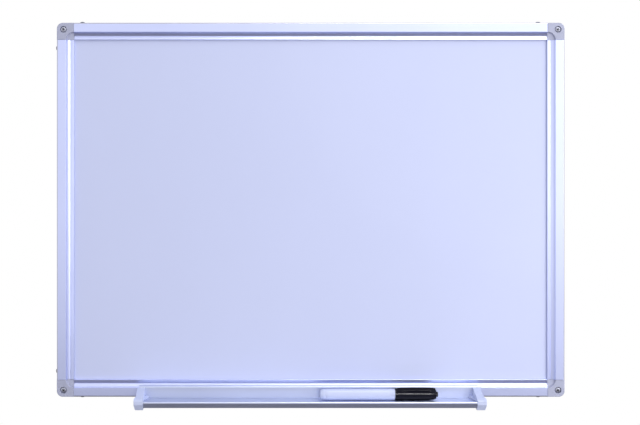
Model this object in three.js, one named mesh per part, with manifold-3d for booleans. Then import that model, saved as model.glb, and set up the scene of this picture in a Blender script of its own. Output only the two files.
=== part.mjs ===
// A framed dry-wipe board for a wall, the pen tray that slides along its lower rail,
// and the capped marker that lies in the tray.
// Lengths are millimetres. X runs to the right, Z up and Y back to the wall.
// The origin is the middle of the board's back, on the wall, so the front lies at negative Y.

import * as THREE from 'three';
import { mergeVertices } from 'three/addons/utils/BufferGeometryUtils.js';
import Module from 'manifold-3d';

const wasm = await Module();
wasm.setup();

// Clearances
const FIT = 0.3; // between pieces that fit in or over each other
const GLUE_LINE = 0.1; // between the bonded layers of the panel
const SEAT = 0.1; // under a screw head
const SAW_LINE = 0.2; // between a rail's sawn end and its corner cap

// Board
const BOARD_WIDTH = 600;
const BOARD_HEIGHT = 442;
const WRITING_SHEET = 0.5;
const CORE_THICKNESS = 9.3;
const BACKING_SHEET = 0.4;
const PANEL_EDGE_GAP = 0.4; // from the panel's edge to the floor of the rail's slot

// Rail section: widths run inward from the outer edge, depths back from the front plane
const FLAT_WIDTH = 10.8;
const COVE_WIDTH = 4.7;
const COVE_DEPTH = 4.2;
const COVE_SAG = 0.5; // how far the cove's face bows in from a straight chamfer
const LIP_WIDTH = 4.5;
const LIP_RISE = 1.7;
const LIP_WALL = 1.3;
const LIP_NOSE = 0.9; // thickness of the lip's inner wall
const RAIL_WALL = 1.5;
const REAR_FLANGE = 17;
const EDGE_RADIUS = 1.5;

// Corner cap
const CAP_RADIUS = 7;
const CAP_PLATE = 1.6;
const CUP_WALL = 1;
const CUP_FLOOR = 1.4;
const FAN_WALL = 0.8; // how wide the steep wall round the sunken fan is
const FAN_DIP = 0.6; // how much deeper the fan lies at the inner corner than at its wall
const FAN_SKIN = 2.1; // plastic under the fan at the inner corner

// Screws
const CORNER_SCREW = { head: 7, height: 2.3, shank: 3.4, length: 11, inset: 7.8, sunk: 0.3 };
const RAIL_SCREW = { head: 5.6, height: 2.3, shank: 2.9, length: 8, inset: 29, depth: 12 };
const PAN_TOP = 0.56; // widths of the head's dome as shares of the head
const PAN_SHOULDER = 0.84;
const SCREW_POINT = 0.33; // width of the blunt point as a share of the shank
const COUNTERBORE_GAP = 0.3;
const RECESS = { width: 3.6, arm: 1.1, depth: 1.5 };

// Corner bracket
const TONGUE_REACH = 38; // from the board's outer corner
const TONGUE_TAPER = 2;

// Pen tray: the section runs forward from the front plane of the frame
const TRAY_SPAN = 386.6; // between the inner faces of the end caps
const TRAY_OFFSET = -2.4; // where it stands along the rail
const TRAY_WALL = 1.2;
const HOOK_DEPTH = 1.8; // how far the hook reaches back into the cove
const FLOOR_DROP = 1.2; // from the board's lower edge down to the tray's floor
const FLOOR_REACH = 29.8; // flat of the floor, ahead of the frame
const RAMP_SLOPE = 35;
const BEAD_INSIDE = 0.5; // inner radius of the bend that makes the front bead
const BEAD_LIFT = 0.2; // bead's centre above the floor's middle plane
const NOSE_SLOPE = 60;
const NOSE_LENGTH = 5.6;
const NOSE_RETURN = 2.8;
const RETURN_REACH = 5; // flange under the board's lower edge

// Tray end caps
const LEG_WIDTH = 8.8;
const BLOCK_WIDTH = 10.8;
const SOCKET_DEPTH = 7; // how far the tray's section enters each end cap
const LEG_TOP_GAP = 0.4; // top of the leg above the inner edge of the rail's flat
const LEG_CREST = 2.5; // level top of the leg before it slopes down
const FACE_MARGIN = 0.7; // block's face in front of the bead
const CREST_RISE = 3.7; // heights of the block's front edge above the tray's floor
const CREST_SETBACK = 2.4;
const FACE_RISE = 2.4;
const EDGE_BREAK = 0.8;
const FACE_FALL = 2.2; // depths of the block's front below the tray's floor
const TOE_FALL = 8.8;
const TOE_SETBACK = 3.8;
const TOE_LENGTH = 6;
const TOE_DRAFT = 1.6; // how far the block's outer side leans in by its toe
const FLARE_START = 23;
const FLARE_END = 31;
const FLANGE_SKIN = 0.6;
const HEEL_FALL = 4.2; // underside of the heel below the board's lower edge
const WEB_REACH = 4.5; // the web in the tray's inside corner: along the rail at its back
const WEB_TIP = 1.5; // and at its front
const WEB_LENGTH = 12;
const WEB_HEIGHT = 3;
const WEB_EDGE = 0.8;

// Marker: lengths run along it from its rear end
const MARKER_START = 10.2; // rear end, from the middle of the board
const MARKER_FORWARD = 16.5; // axis in front of the frame
const PLUG_LENGTH = 7;
const PLUG_END_RADIUS = 5.2;
const PLUG_CHAMFER = 0.6;
const PLUG_SWELL = 3.2; // from the end to where the plug is nearly as wide as the barrel
const PLUG_SWELL_DROP = 0.35;
const PLUG_SPIGOT = 7;
const BARREL_RADIUS = 6.4;
const BARREL_WALL = 1.3;
const BARREL_LENGTH = 78.4;
const COLLAR_LENGTH = 1.3;
const HOLDER_SPIGOT = 8.5;
const NECK_RADIUS = 5.3;
const NECK_LENGTH = 14;
const SHOULDER_LENGTH = 6;
const TIP_TUBE_RADIUS = 3.2;
const TIP_TUBE_LENGTH = 5;
const TIP_TUBE_TAPER = 0.3;
const NIB_RADIUS = 1.9;
const NIB_SHOWN = 5;
const NIB_TAIL = 6; // length of nib inside the reservoir
const CAP_LENGTH = 50.1;
const CAP_WALL = 1.35;
const CAP_BORE_RADIUS = 4.2;
const CAP_BORE_REACH = 14; // bore beyond the nib's tip
const CAP_SHOULDER = 8;
const CAP_SHOULDER_DROP = 0.5; // halfway along the shoulder
const CAP_END_RADIUS = 5.4;
const NUB_RADIUS = 3;
const NUB_LENGTH = 2.2;
const NUB_CHAMFER = 0.5;
const CLIP = {
  width: 5.4, thickness: 1.2, gap: 0.5, bow: 0.9, turn: 40, root: 6, free: 2.5, heel: 1,
};

// Fineness of round work
const COVE_STEPS = 6;
const EDGE_STEPS = 4;
const BEAD_STEPS = 6;
const CORNER_STEPS = 8;
const SCREW_SIDES = 16;
const FAN_SIDES = 48;
const CUP_SIDES = 24;
const MARKER_SIDES = 24;
const NIB_SIDES = 12;
const NIB_STEPS = 4;
const CLIP_STEPS = 8;

// Derived sizes
const HALF_WIDTH = BOARD_WIDTH / 2;
const HALF_HEIGHT = BOARD_HEIGHT / 2;
const RAIL_WIDTH = FLAT_WIDTH + COVE_WIDTH + LIP_WIDTH;
const SLOT_FRONT = COVE_DEPTH + LIP_WALL;
const PANEL_FRONT = SLOT_FRONT + FIT;
const PANEL_THICKNESS = WRITING_SHEET + CORE_THICKNESS + BACKING_SHEET + 2 * GLUE_LINE;
const SLOT_REAR = PANEL_FRONT + PANEL_THICKNESS + FIT;
const FRAME_DEPTH = SLOT_REAR + RAIL_WALL;
const PANEL_INSET = FLAT_WIDTH + PANEL_EDGE_GAP;
const CHAMBER_WIDTH = FLAT_WIDTH - 2 * RAIL_WALL;
const RAIL_SCREW_Y = RAIL_SCREW.depth - FRAME_DEPTH;

const MATERIALS = {
  aluminium: { color: 0xc9cedb, roughness: 0.35, metalness: 0.8 },
  greyPlastic: { color: 0xb9bfcc, roughness: 0.5, metalness: 0 },
  steelScrew: { color: 0xa9abb2, roughness: 0.3, metalness: 1 },
  whiteEnamel: { color: 0xe4e8f6, roughness: 0.12, metalness: 0 },
  coreBoard: { color: 0xb99a70, roughness: 0.9, metalness: 0 },
  backingSheet: { color: 0x9a9da3, roughness: 0.5, metalness: 0.7 },
  whitePlastic: { color: 0xe8ebf4, roughness: 0.3, metalness: 0 },
  blackPlastic: { color: 0x1b1b24, roughness: 0.3, metalness: 0 },
  inkFelt: { color: 0x16161c, roughness: 1, metalness: 0 },
};

for (const look of Object.keys(MATERIALS)) {
  MATERIALS[look] = new THREE.MeshStandardMaterial(MATERIALS[look]);
}

// Solids

function solidOf(geometry) {
  geometry.deleteAttribute('normal');
  geometry.deleteAttribute('uv');
  const merged = mergeVertices(geometry, 1e-4);
  const corners = merged.index.array;
  const triangles = [];
  for (let i = 0; i < corners.length; i += 3) {
    const [a, b, c] = corners.slice(i, i + 3);
    if (a !== b && b !== c && c !== a) {
      triangles.push(a, b, c);
    }
  }
  return new wasm.Manifold(new wasm.Mesh({
    numProp: 3,
    vertProperties: new Float32Array(merged.attributes.position.array),
    triVerts: new Uint32Array(triangles),
  }));
}

function pieceOf(name, solid, material) {
  const result = solid.getMesh();
  const geometry = new THREE.BufferGeometry();
  geometry.setAttribute('position', new THREE.BufferAttribute(result.vertProperties, 3));
  geometry.setIndex(new THREE.BufferAttribute(result.triVerts, 1));
  geometry.computeVertexNormals();
  const piece = new THREE.Mesh(geometry, material);
  piece.name = name;
  return piece;
}

const X = new THREE.Vector3(1, 0, 0);
const Y = new THREE.Vector3(0, 1, 0);
const Z = new THREE.Vector3(0, 0, 1);

// An outline drawn in two axes, extruded along the third between two places on it.
const PLANES = {
  yz: { basis: new THREE.Matrix4().makeBasis(Y, Z, X), sign: 1 },
  xy: { basis: new THREE.Matrix4().makeBasis(X, Y, Z), sign: 1 },
  xz: { basis: new THREE.Matrix4().makeBasis(X, Z, Y.clone().negate()), sign: -1 },
};

function extrude(outline, plane, from, to, hole = null) {
  const shape = new THREE.Shape(outline.map(([a, b]) => new THREE.Vector2(a, b)));
  if (hole) {
    shape.holes.push(new THREE.Path(hole.map(([a, b]) => new THREE.Vector2(a, b))));
  }
  const geometry = new THREE.ExtrudeGeometry(shape, {
    depth: Math.abs(to - from),
    bevelEnabled: false,
  });
  const { basis, sign } = PLANES[plane];
  geometry.translate(0, 0, sign > 0 ? Math.min(from, to) : -Math.max(from, to));
  geometry.applyMatrix4(basis);
  return solidOf(geometry);
}

function box(x0, x1, y0, y1, z0, z1) {
  return extrude([[x0, y0], [x1, y0], [x1, y1], [x0, y1]], 'xy', z0, z1);
}

// A profile of [radius, height] pairs, from its lowest point up, turned about the Y axis.
function turned(profile, sides, place = [0, 0]) {
  const points = profile.map(([radius, height]) => new THREE.Vector2(radius, height));
  const geometry = new THREE.LatheGeometry(points, sides);
  geometry.translate(place[0], 0, place[1]);
  return solidOf(geometry);
}

// The same with [along, radius] pairs, turned about the X axis.
function turnedAlongX(profile, sides) {
  const points = profile.map(([along, radius]) => new THREE.Vector2(radius, along));
  const geometry = new THREE.LatheGeometry(points, sides);
  geometry.rotateZ(-Math.PI / 2);
  return solidOf(geometry);
}

function rod(radius, from, to, sides, place) {
  return turned([[0, from], [radius, from], [radius, to], [0, to]], sides, place);
}

// A bore along Z from one height to another.
function boreAlongZ(radius, x, y, from, to) {
  const geometry = new THREE.CylinderGeometry(radius, radius, to - from, SCREW_SIDES);
  geometry.rotateX(Math.PI / 2);
  geometry.translate(x, y, (from + to) / 2);
  return solidOf(geometry);
}

function boreAlongX(radius, y, z, from, to) {
  const geometry = new THREE.CylinderGeometry(radius, radius, to - from, SCREW_SIDES);
  geometry.rotateZ(Math.PI / 2);
  geometry.translate((from + to) / 2, y, z);
  return solidOf(geometry);
}

function arc(centreA, centreB, radiusA, radiusB, fromDegrees, toDegrees, steps) {
  const points = [];
  for (let i = 0; i <= steps; i += 1) {
    const angle = THREE.MathUtils.degToRad(fromDegrees + ((toDegrees - fromDegrees) * i) / steps);
    points.push([centreA + radiusA * Math.cos(angle), centreB + radiusB * Math.sin(angle)]);
  }
  return points;
}

// Frame

// The cove's arc runs from the flat's inner edge to the foot of the lip, in inward and depth.
const COVE_START = new THREE.Vector2(FLAT_WIDTH, 0);
const COVE_END = new THREE.Vector2(FLAT_WIDTH + COVE_WIDTH, COVE_DEPTH);
const COVE_CHORD = COVE_END.clone().sub(COVE_START);
const COVE_RADIUS = (COVE_CHORD.length() ** 2 / 4 + COVE_SAG ** 2) / (2 * COVE_SAG);
const COVE_CENTRE = new THREE.Vector2(COVE_CHORD.y, -COVE_CHORD.x)
  .setLength(COVE_RADIUS - COVE_SAG)
  .add(COVE_START)
  .addScaledVector(COVE_CHORD, 0.5);

function coveBearing(point) {
  return THREE.MathUtils.radToDeg(point.clone().sub(COVE_CENTRE).angle());
}

// The cove and lip as [inward, depth] pairs from the flat to the inner edge.
function coveAndLip() {
  const cove = arc(
    COVE_CENTRE.x, COVE_CENTRE.y, COVE_RADIUS, COVE_RADIUS,
    coveBearing(COVE_START), coveBearing(COVE_END), COVE_STEPS,
  );
  cove[0] = [COVE_START.x, COVE_START.y];
  return [
    ...cove,
    [RAIL_WIDTH - LIP_NOSE, COVE_DEPTH - LIP_RISE],
    [RAIL_WIDTH, COVE_DEPTH - LIP_RISE + LIP_NOSE / 2],
  ];
}

// How far inward a face at a distance in front of the cove lies, at a depth.
function coveInward(depth, distance) {
  return COVE_CENTRE.x - Math.sqrt((COVE_RADIUS - distance) ** 2 - (depth - COVE_CENTRE.y) ** 2);
}

function railSection() {
  const rear = FRAME_DEPTH;
  return [
    ...arc(EDGE_RADIUS, EDGE_RADIUS, EDGE_RADIUS, EDGE_RADIUS, 180, 270, EDGE_STEPS),
    ...coveAndLip(),
    [RAIL_WIDTH, SLOT_FRONT],
    [RAIL_WIDTH - LIP_NOSE, SLOT_FRONT],
    [RAIL_WIDTH - LIP_NOSE, COVE_DEPTH - LIP_RISE + LIP_WALL],
    [FLAT_WIDTH + COVE_WIDTH, SLOT_FRONT],
    [FLAT_WIDTH, SLOT_FRONT],
    [FLAT_WIDTH, SLOT_REAR],
    [REAR_FLANGE, SLOT_REAR],
    [REAR_FLANGE, rear],
    [EDGE_RADIUS / 2, rear],
    [0, rear - EDGE_RADIUS / 2],
  ];
}

const toRail = ([inward, depth]) => [depth - FRAME_DEPTH, -inward];

// A rail in its side's own frame: X along it, Z outward with the outer edge at 0.
function frameRail(length) {
  const chamber = [
    [RAIL_WALL, RAIL_WALL],
    [RAIL_WALL + CHAMBER_WIDTH, RAIL_WALL],
    [RAIL_WALL + CHAMBER_WIDTH, SLOT_REAR],
    [RAIL_WALL, SLOT_REAR],
  ];
  const half = length / 2 - RAIL_WIDTH - SAW_LINE;
  let rail = extrude(railSection().map(toRail), 'yz', -half, half, chamber.map(toRail));
  const bore = RAIL_SCREW.shank / 2 + FIT;
  for (const x of screwPlaces(length)) {
    rail = rail.subtract(boreAlongZ(bore, x, RAIL_SCREW_Y, -RAIL_WALL - FIT, FIT));
  }
  return rail;
}

function screwPlaces(length) {
  const place = length / 2 - RAIL_SCREW.inset;
  return [-place, place];
}

// The outline of a square with one rounded corner at the board's corner, set in from its edges.
function cornerOutline(inset, reach) {
  const radius = Math.max(CAP_RADIUS - inset, FIT);
  const centre = inset + radius;
  return [
    [reach, -inset],
    ...arc(centre, -centre, radius, radius, 90, 180, CORNER_STEPS),
    [inset, -reach],
    [reach, -reach],
  ];
}

// A corner cap in its corner's own frame: X and -Z run inward from the board's corner.
function cornerCap() {
  const front = -FRAME_DEPTH;
  const inner = [RAIL_WIDTH, -RAIL_WIDTH];
  const place = [CORNER_SCREW.inset, -CORNER_SCREW.inset];
  const fanRadius = RAIL_WIDTH - FLAT_WIDTH;
  const block = extrude(cornerOutline(0, RAIL_WIDTH), 'xz', front, 0);
  const pocket = extrude(cornerOutline(RAIL_WALL, RAIL_WIDTH + FIT), 'xz', front + CAP_PLATE, FIT);
  const fanFloor = front + SLOT_FRONT - FAN_SKIN;
  const fan = turned([
    [0, fanFloor],
    [fanRadius - FAN_WALL, fanFloor - FAN_DIP],
    [fanRadius, front],
    [fanRadius + RAIL_WALL, front],
    [fanRadius + RAIL_WALL, front + SLOT_FRONT],
    [0, front + SLOT_FRONT],
  ], FAN_SIDES, inner).intersect(block);
  const fanOpening = rod(fanRadius + RAIL_WALL / 2, front - FIT, front + SLOT_FRONT, FAN_SIDES, inner);
  const boreRadius = CORNER_SCREW.head / 2 + COUNTERBORE_GAP;
  const seat = front + CORNER_SCREW.sunk + CORNER_SCREW.height + SEAT;
  const cup = rod(boreRadius + CUP_WALL, front + CAP_PLATE / 2, seat + CUP_FLOOR, CUP_SIDES, place);
  const counterbore = rod(boreRadius, front - FIT, seat, CUP_SIDES, place);
  const hole = rod(CORNER_SCREW.shank / 2 + FIT, front, 0, SCREW_SIDES, place);
  const shell = block.subtract(pocket).subtract(fanOpening).add(fan).add(cup);
  return shell.subtract(counterbore).subtract(hole);
}

// The bracket in the same frame: two tongues for the rails' chambers and a block for the wall screw.
function cornerBracket() {
  const front = -FRAME_DEPTH;
  const place = [CORNER_SCREW.inset, -CORNER_SCREW.inset];
  const near = RAIL_WALL + FIT;
  const far = RAIL_WALL + CHAMBER_WIDTH - FIT;
  const boreRadius = CORNER_SCREW.head / 2 + COUNTERBORE_GAP;
  const cupEnd = CORNER_SCREW.inset + boreRadius + CUP_WALL + FIT;
  const cupDepth = CORNER_SCREW.sunk + CORNER_SCREW.height + SEAT + CUP_FLOOR + FIT;
  const tongueTop = RAIL_WALL + FIT;
  const tongueBack = SLOT_REAR - FIT;
  const side = [
    [near, cupDepth],
    [cupEnd, cupDepth],
    [cupEnd, tongueTop],
    [TONGUE_REACH - TONGUE_TAPER, tongueTop],
    [TONGUE_REACH, tongueTop + TONGUE_TAPER],
    [TONGUE_REACH, tongueBack - TONGUE_TAPER],
    [TONGUE_REACH - TONGUE_TAPER, tongueBack],
    [near, tongueBack],
  ];
  const across = extrude(side.map(([along, depth]) => [along, depth + front]), 'xy', -far, -near);
  const down = extrude(side.map(([along, depth]) => [depth + front, -along]), 'yz', near, far);
  const blockEdge = PANEL_INSET - FIT;
  const blockFront = front + Math.max(cupDepth, PANEL_FRONT);
  const block = extrude(cornerOutline(near, blockEdge), 'xz', blockFront, 0);
  const rounded = extrude(cornerOutline(near, TONGUE_REACH), 'xz', front, 0);
  const wallBore = rod(CORNER_SCREW.shank / 2 + FIT, front, FIT, SCREW_SIDES, place);
  const bore = RAIL_SCREW.shank / 2 + FIT;
  return across.add(down).add(block).intersect(rounded).subtract(wallBore)
    .subtract(boreAlongZ(bore, RAIL_SCREW.inset, RAIL_SCREW_Y, -far - FIT, 0))
    .subtract(boreAlongX(bore, RAIL_SCREW_Y, -RAIL_SCREW.inset, 0, far + FIT));
}

// A pan head screw with a cross recess. The seat is at Y 0, the head in front of it.
function screw({ head, height, shank, length }) {
  const radius = head / 2;
  const profile = [
    [0, -height],
    [radius * PAN_TOP, -height],
    [radius * PAN_SHOULDER, -height * 2 / 3],
    [radius, -height / 4],
    [radius, 0],
    [shank / 2, 0],
    [shank / 2, length - shank / 2],
    [(shank / 2) * SCREW_POINT, length],
    [0, length],
  ];
  const arms = [[RECESS.width, RECESS.arm], [RECESS.arm, RECESS.width]].map(([wide, tall]) => box(
    -wide / 2, wide / 2, -height - FIT, RECESS.depth - height, -tall / 2, tall / 2,
  ));
  return turned(profile, SCREW_SIDES).subtract(arms[0].add(arms[1]));
}

// A layer of the panel, its front at a depth behind the front plane.
function layer(depth, thickness) {
  const halfWidth = HALF_WIDTH - PANEL_INSET;
  const halfHeight = HALF_HEIGHT - PANEL_INSET;
  const front = depth - FRAME_DEPTH;
  return box(-halfWidth, halfWidth, front, front + thickness, -halfHeight, halfHeight);
}

// Pen tray

const EDGE = -HALF_HEIGHT; // height of the board's lower edge
const FLOOR_TOP = EDGE - FLOOR_DROP;
const toTray = ([forward, height]) => [-FRAME_DEPTH - forward, height];

function bearing(degrees) {
  const angle = THREE.MathUtils.degToRad(degrees);
  return new THREE.Vector2(Math.cos(angle), Math.sin(angle));
}

// The outline of a strip of sheet that follows a path, with mitred bends, grown on every side.
function strip(path, grow = 0) {
  const thickness = TRAY_WALL + 2 * grow;
  const points = path.map(([a, b]) => new THREE.Vector2(a, b));
  const last = points.length - 1;
  const lengthen = (end, next) => end.add(end.clone().sub(next).setLength(grow));
  lengthen(points[0], points[1]);
  lengthen(points[last], points[last - 1]);
  const normals = points.slice(1).map((point, i) => {
    const along = point.clone().sub(points[i]).normalize();
    return new THREE.Vector2(-along.y, along.x);
  });
  const offsets = points.map((point, i) => {
    const before = normals[Math.max(i - 1, 0)];
    const after = normals[Math.min(i, normals.length - 1)];
    const mitre = before.clone().add(after);
    return mitre.multiplyScalar(thickness / mitre.dot(before) / 2);
  });
  const left = points.map((point, i) => point.clone().add(offsets[i]));
  const right = points.map((point, i) => point.clone().sub(offsets[i])).reverse();
  return [...left, ...right].map(({ x, y }) => [x, y]);
}

// Where the middle of the tray's wall runs, from the hook over the plate, floor and bead to the nose.
function trayPath() {
  const half = TRAY_WALL / 2;
  const floor = FLOOR_TOP - half;
  const plate = FIT + half;
  const ramp = bearing(RAMP_SLOPE);
  const beadRadius = BEAD_INSIDE + half;
  const rampRise = BEAD_LIFT + beadRadius * ramp.x;
  const rampRun = (rampRise * ramp.x) / ramp.y;
  const beadForward = FLOOR_REACH + rampRun + beadRadius * ramp.y;
  const bead = arc(
    beadForward, floor + BEAD_LIFT, beadRadius, beadRadius,
    90 + RAMP_SLOPE, NOSE_SLOPE - 90, BEAD_STEPS,
  );
  const nose = bearing(NOSE_SLOPE).multiplyScalar(-NOSE_LENGTH);
  const [lastForward, lastHeight] = bead[bead.length - 1];
  const toe = [lastForward + nose.x, lastHeight + nose.y];
  return [
    [-HOOK_DEPTH, EDGE + coveInward(HOOK_DEPTH, FIT + half)],
    [plate, EDGE + FLAT_WIDTH + FIT + half],
    [plate, floor],
    [FLOOR_REACH, floor],
    ...bead,
    toe,
    [toe[0] - NOSE_RETURN, toe[1]],
  ];
}

// The tray's section along X, grown on every side where it cuts a socket.
function traySection(from, to, grow = 0) {
  const half = TRAY_WALL / 2;
  const flange = [[FIT + half, EDGE - FIT - half], [-RETURN_REACH, EDGE - FIT - half]];
  const main = extrude(strip(trayPath(), grow).map(toTray), 'yz', from, to);
  return main.add(extrude(strip(flange, grow).map(toTray), 'yz', from, to));
}

// An end cap on one side, 1 for right and -1 for left, in the tray's own frame.
function trayEndCap(side) {
  const faceForward = Math.max(...strip(trayPath()).map(([forward]) => forward)) + FACE_MARGIN;
  const toe = FLOOR_TOP - TOE_FALL;
  const heel = EDGE - HEEL_FALL;
  const flangeBack = -RETURN_REACH - FIT - FLANGE_SKIN;
  const legTop = EDGE + FLAT_WIDTH + LEG_TOP_GAP;
  const profile = [
    [FIT, EDGE - FIT],
    [FIT, legTop],
    [LEG_CREST, legTop],
    [faceForward - CREST_SETBACK, FLOOR_TOP + CREST_RISE],
    [faceForward - EDGE_BREAK, FLOOR_TOP + FACE_RISE],
    [faceForward, FLOOR_TOP - FACE_FALL],
    [faceForward - TOE_SETBACK, toe],
    [faceForward - TOE_SETBACK - TOE_LENGTH, toe],
    [LEG_CREST, heel],
    [flangeBack, heel],
    [flangeBack, EDGE - FIT],
  ];
  const inner = (side * TRAY_SPAN) / 2;
  const place = (width) => inner + side * width;
  const body = extrude(profile.map(toTray), 'yz', inner, place(BLOCK_WIDTH));
  const planned = (outline) => extrude(
    outline.map(([width, forward]) => [place(width), -FRAME_DEPTH - forward]),
    'xy', toe - FIT, EDGE + RAIL_WIDTH,
  );
  const spread = planned([
    [0, flangeBack - FIT],
    [LEG_WIDTH, flangeBack - FIT],
    [LEG_WIDTH, FLARE_START],
    [BLOCK_WIDTH, FLARE_END],
    [BLOCK_WIDTH, faceForward - EDGE_BREAK],
    [BLOCK_WIDTH - EDGE_BREAK, faceForward + FIT],
    [EDGE_BREAK, faceForward + FIT],
    [0, faceForward - EDGE_BREAK],
  ]);
  const draft = extrude([
    [place(-FIT), EDGE + RAIL_WIDTH],
    [place(BLOCK_WIDTH + FIT), EDGE + RAIL_WIDTH],
    [place(BLOCK_WIDTH + FIT), FLOOR_TOP - FACE_FALL],
    [place(BLOCK_WIDTH), FLOOR_TOP - FACE_FALL],
    [place(BLOCK_WIDTH - TOE_DRAFT), toe - FIT],
    [place(-FIT), toe - FIT],
  ], 'xz', -FRAME_DEPTH - faceForward - FIT, 0);
  const webBack = FIT + TRAY_WALL;
  const webFront = webBack + WEB_LENGTH;
  const webShape = extrude([
    [webBack, FLOOR_TOP],
    [webBack, FLOOR_TOP + WEB_HEIGHT],
    [webFront, FLOOR_TOP + WEB_EDGE],
    [webFront, FLOOR_TOP],
  ].map(toTray), 'yz', place(-WEB_REACH), place(LEG_WIDTH / 2));
  const web = webShape.intersect(planned([
    [LEG_WIDTH, webBack - FIT],
    [-WEB_REACH, webBack - FIT],
    [-WEB_REACH, webBack],
    [-WEB_TIP, webFront],
    [LEG_WIDTH, webFront],
  ]));
  const socket = traySection(place(-WEB_REACH - FIT), place(SOCKET_DEPTH + FIT), FIT);
  return body.intersect(spread).intersect(draft).add(web).subtract(socket);
}

// Marker

const BARREL_BORE = BARREL_RADIUS - BARREL_WALL;
const COLLAR_START = PLUG_LENGTH + BARREL_LENGTH + 2 * SEAT;
const CAP_START = COLLAR_START + COLLAR_LENGTH + FIT;
const NECK_END = COLLAR_START + COLLAR_LENGTH + NECK_LENGTH;
const TUBE_START = NECK_END + SHOULDER_LENGTH;
const TUBE_END = TUBE_START + TIP_TUBE_LENGTH;
const NIB_TIP = TUBE_END + NIB_SHOWN;
const SPIGOT_START = COLLAR_START - HOLDER_SPIGOT;
const RESERVOIR_END = SPIGOT_START - FIT;
const CAP_RADIUS_OUT = NECK_RADIUS + FIT + CAP_WALL;
const CAP_END = CAP_START + CAP_LENGTH;

function markerPlug() {
  return turnedAlongX([
    [0, 0],
    [0, PLUG_END_RADIUS - PLUG_CHAMFER],
    [PLUG_CHAMFER, PLUG_END_RADIUS],
    [PLUG_SWELL, BARREL_RADIUS - PLUG_SWELL_DROP],
    [PLUG_LENGTH, BARREL_RADIUS],
    [PLUG_LENGTH, BARREL_BORE - FIT],
    [PLUG_LENGTH + PLUG_SPIGOT, BARREL_BORE - FIT],
    [PLUG_LENGTH + PLUG_SPIGOT, 0],
  ], MARKER_SIDES);
}

function markerBarrel() {
  const from = PLUG_LENGTH + SEAT;
  const to = COLLAR_START - SEAT;
  return turnedAlongX([
    [from, BARREL_BORE],
    [from, BARREL_RADIUS],
    [to, BARREL_RADIUS],
    [to, BARREL_BORE],
    [from, BARREL_BORE],
  ], MARKER_SIDES);
}

function markerHolder() {
  const bore = NIB_RADIUS + FIT;
  return turnedAlongX([
    [SPIGOT_START, bore],
    [SPIGOT_START, BARREL_BORE - FIT],
    [COLLAR_START, BARREL_BORE - FIT],
    [COLLAR_START, BARREL_RADIUS],
    [COLLAR_START + COLLAR_LENGTH, BARREL_RADIUS],
    [COLLAR_START + COLLAR_LENGTH, NECK_RADIUS],
    [NECK_END, NECK_RADIUS],
    [TUBE_START, TIP_TUBE_RADIUS],
    [TUBE_END, TIP_TUBE_RADIUS - TIP_TUBE_TAPER],
    [TUBE_END, bore],
    [SPIGOT_START, bore],
  ], MARKER_SIDES);
}

function markerNib() {
  const tail = RESERVOIR_END - NIB_TAIL;
  return turnedAlongX([
    [tail, 0],
    [tail, NIB_RADIUS],
    ...arc(NIB_TIP - NIB_RADIUS, 0, NIB_RADIUS, NIB_RADIUS, 90, 0, NIB_STEPS),
  ], NIB_SIDES);
}

function markerReservoir() {
  const bore = NIB_RADIUS + FIT;
  const radius = BARREL_BORE - FIT;
  const from = PLUG_LENGTH + PLUG_SPIGOT + FIT;
  const boreFloor = RESERVOIR_END - NIB_TAIL - FIT;
  return turnedAlongX([
    [from, 0],
    [from, radius],
    [RESERVOIR_END, radius],
    [RESERVOIR_END, bore],
    [boreFloor, bore],
    [boreFloor, 0],
  ], MARKER_SIDES);
}

// The bowed clip, drawn along the cap and away from its axis.
function capClip() {
  const rootEnd = CAP_END - NUB_LENGTH - CLIP.heel;
  const freeEnd = CAP_START + CLIP.free;
  const under = CAP_RADIUS_OUT + CLIP.gap;
  const middle = (rootEnd + freeEnd) / 2;
  const half = (rootEnd - freeEnd) / 2;
  const bowed = (along) => CLIP.bow * (1 - ((along - middle) / half) ** 2);
  const top = [];
  const bottom = [];
  for (let i = 0; i <= CLIP_STEPS; i += 1) {
    const along = freeEnd + ((rootEnd - freeEnd) * i) / CLIP_STEPS;
    const drop = i === CLIP_STEPS ? CLIP.thickness : 0;
    top.push([along, under + bowed(along) + CLIP.thickness - drop]);
    if (along <= rootEnd - CLIP.root) {
      bottom.push([along, under + bowed(along)]);
    }
  }
  const lastBottom = bottom[bottom.length - 1];
  const outline = [...top, [rootEnd, 0], [lastBottom[0], 0], ...bottom.reverse()];
  return extrude(outline, 'xz', -CLIP.width / 2, CLIP.width / 2).rotate([CLIP.turn, 0, 0]);
}

function markerCap() {
  const shoulder = CAP_END - NUB_LENGTH - CAP_SHOULDER;
  const boreStep = TUBE_START + FIT;
  const boreEnd = NIB_TIP + CAP_BORE_REACH;
  const outside = turnedAlongX([
    [CAP_START, 0],
    [CAP_START, CAP_RADIUS_OUT],
    [shoulder, CAP_RADIUS_OUT],
    [shoulder + CAP_SHOULDER / 2, CAP_RADIUS_OUT - CAP_SHOULDER_DROP],
    [shoulder + CAP_SHOULDER, CAP_END_RADIUS],
    [shoulder + CAP_SHOULDER, NUB_RADIUS],
    [CAP_END - NUB_CHAMFER, NUB_RADIUS],
    [CAP_END, NUB_RADIUS - NUB_CHAMFER],
    [CAP_END, 0],
  ], MARKER_SIDES);
  const inside = turnedAlongX([
    [CAP_START - FIT, 0],
    [CAP_START - FIT, NECK_RADIUS + FIT],
    [boreStep, NECK_RADIUS + FIT],
    [boreStep, CAP_BORE_RADIUS],
    [boreEnd, CAP_BORE_RADIUS],
    [boreEnd, 0],
  ], MARKER_SIDES);
  return outside.add(capClip()).subtract(inside);
}

// Assembly

const whiteboard = new THREE.Group();

const SIDES = [
  { name: 'top', turn: 0, length: BOARD_WIDTH, outward: HALF_HEIGHT },
  { name: 'right', turn: 90, length: BOARD_HEIGHT, outward: HALF_WIDTH },
  { name: 'bottom', turn: 180, length: BOARD_WIDTH, outward: HALF_HEIGHT },
  { name: 'left', turn: 270, length: BOARD_HEIGHT, outward: HALF_WIDTH },
];

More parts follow.
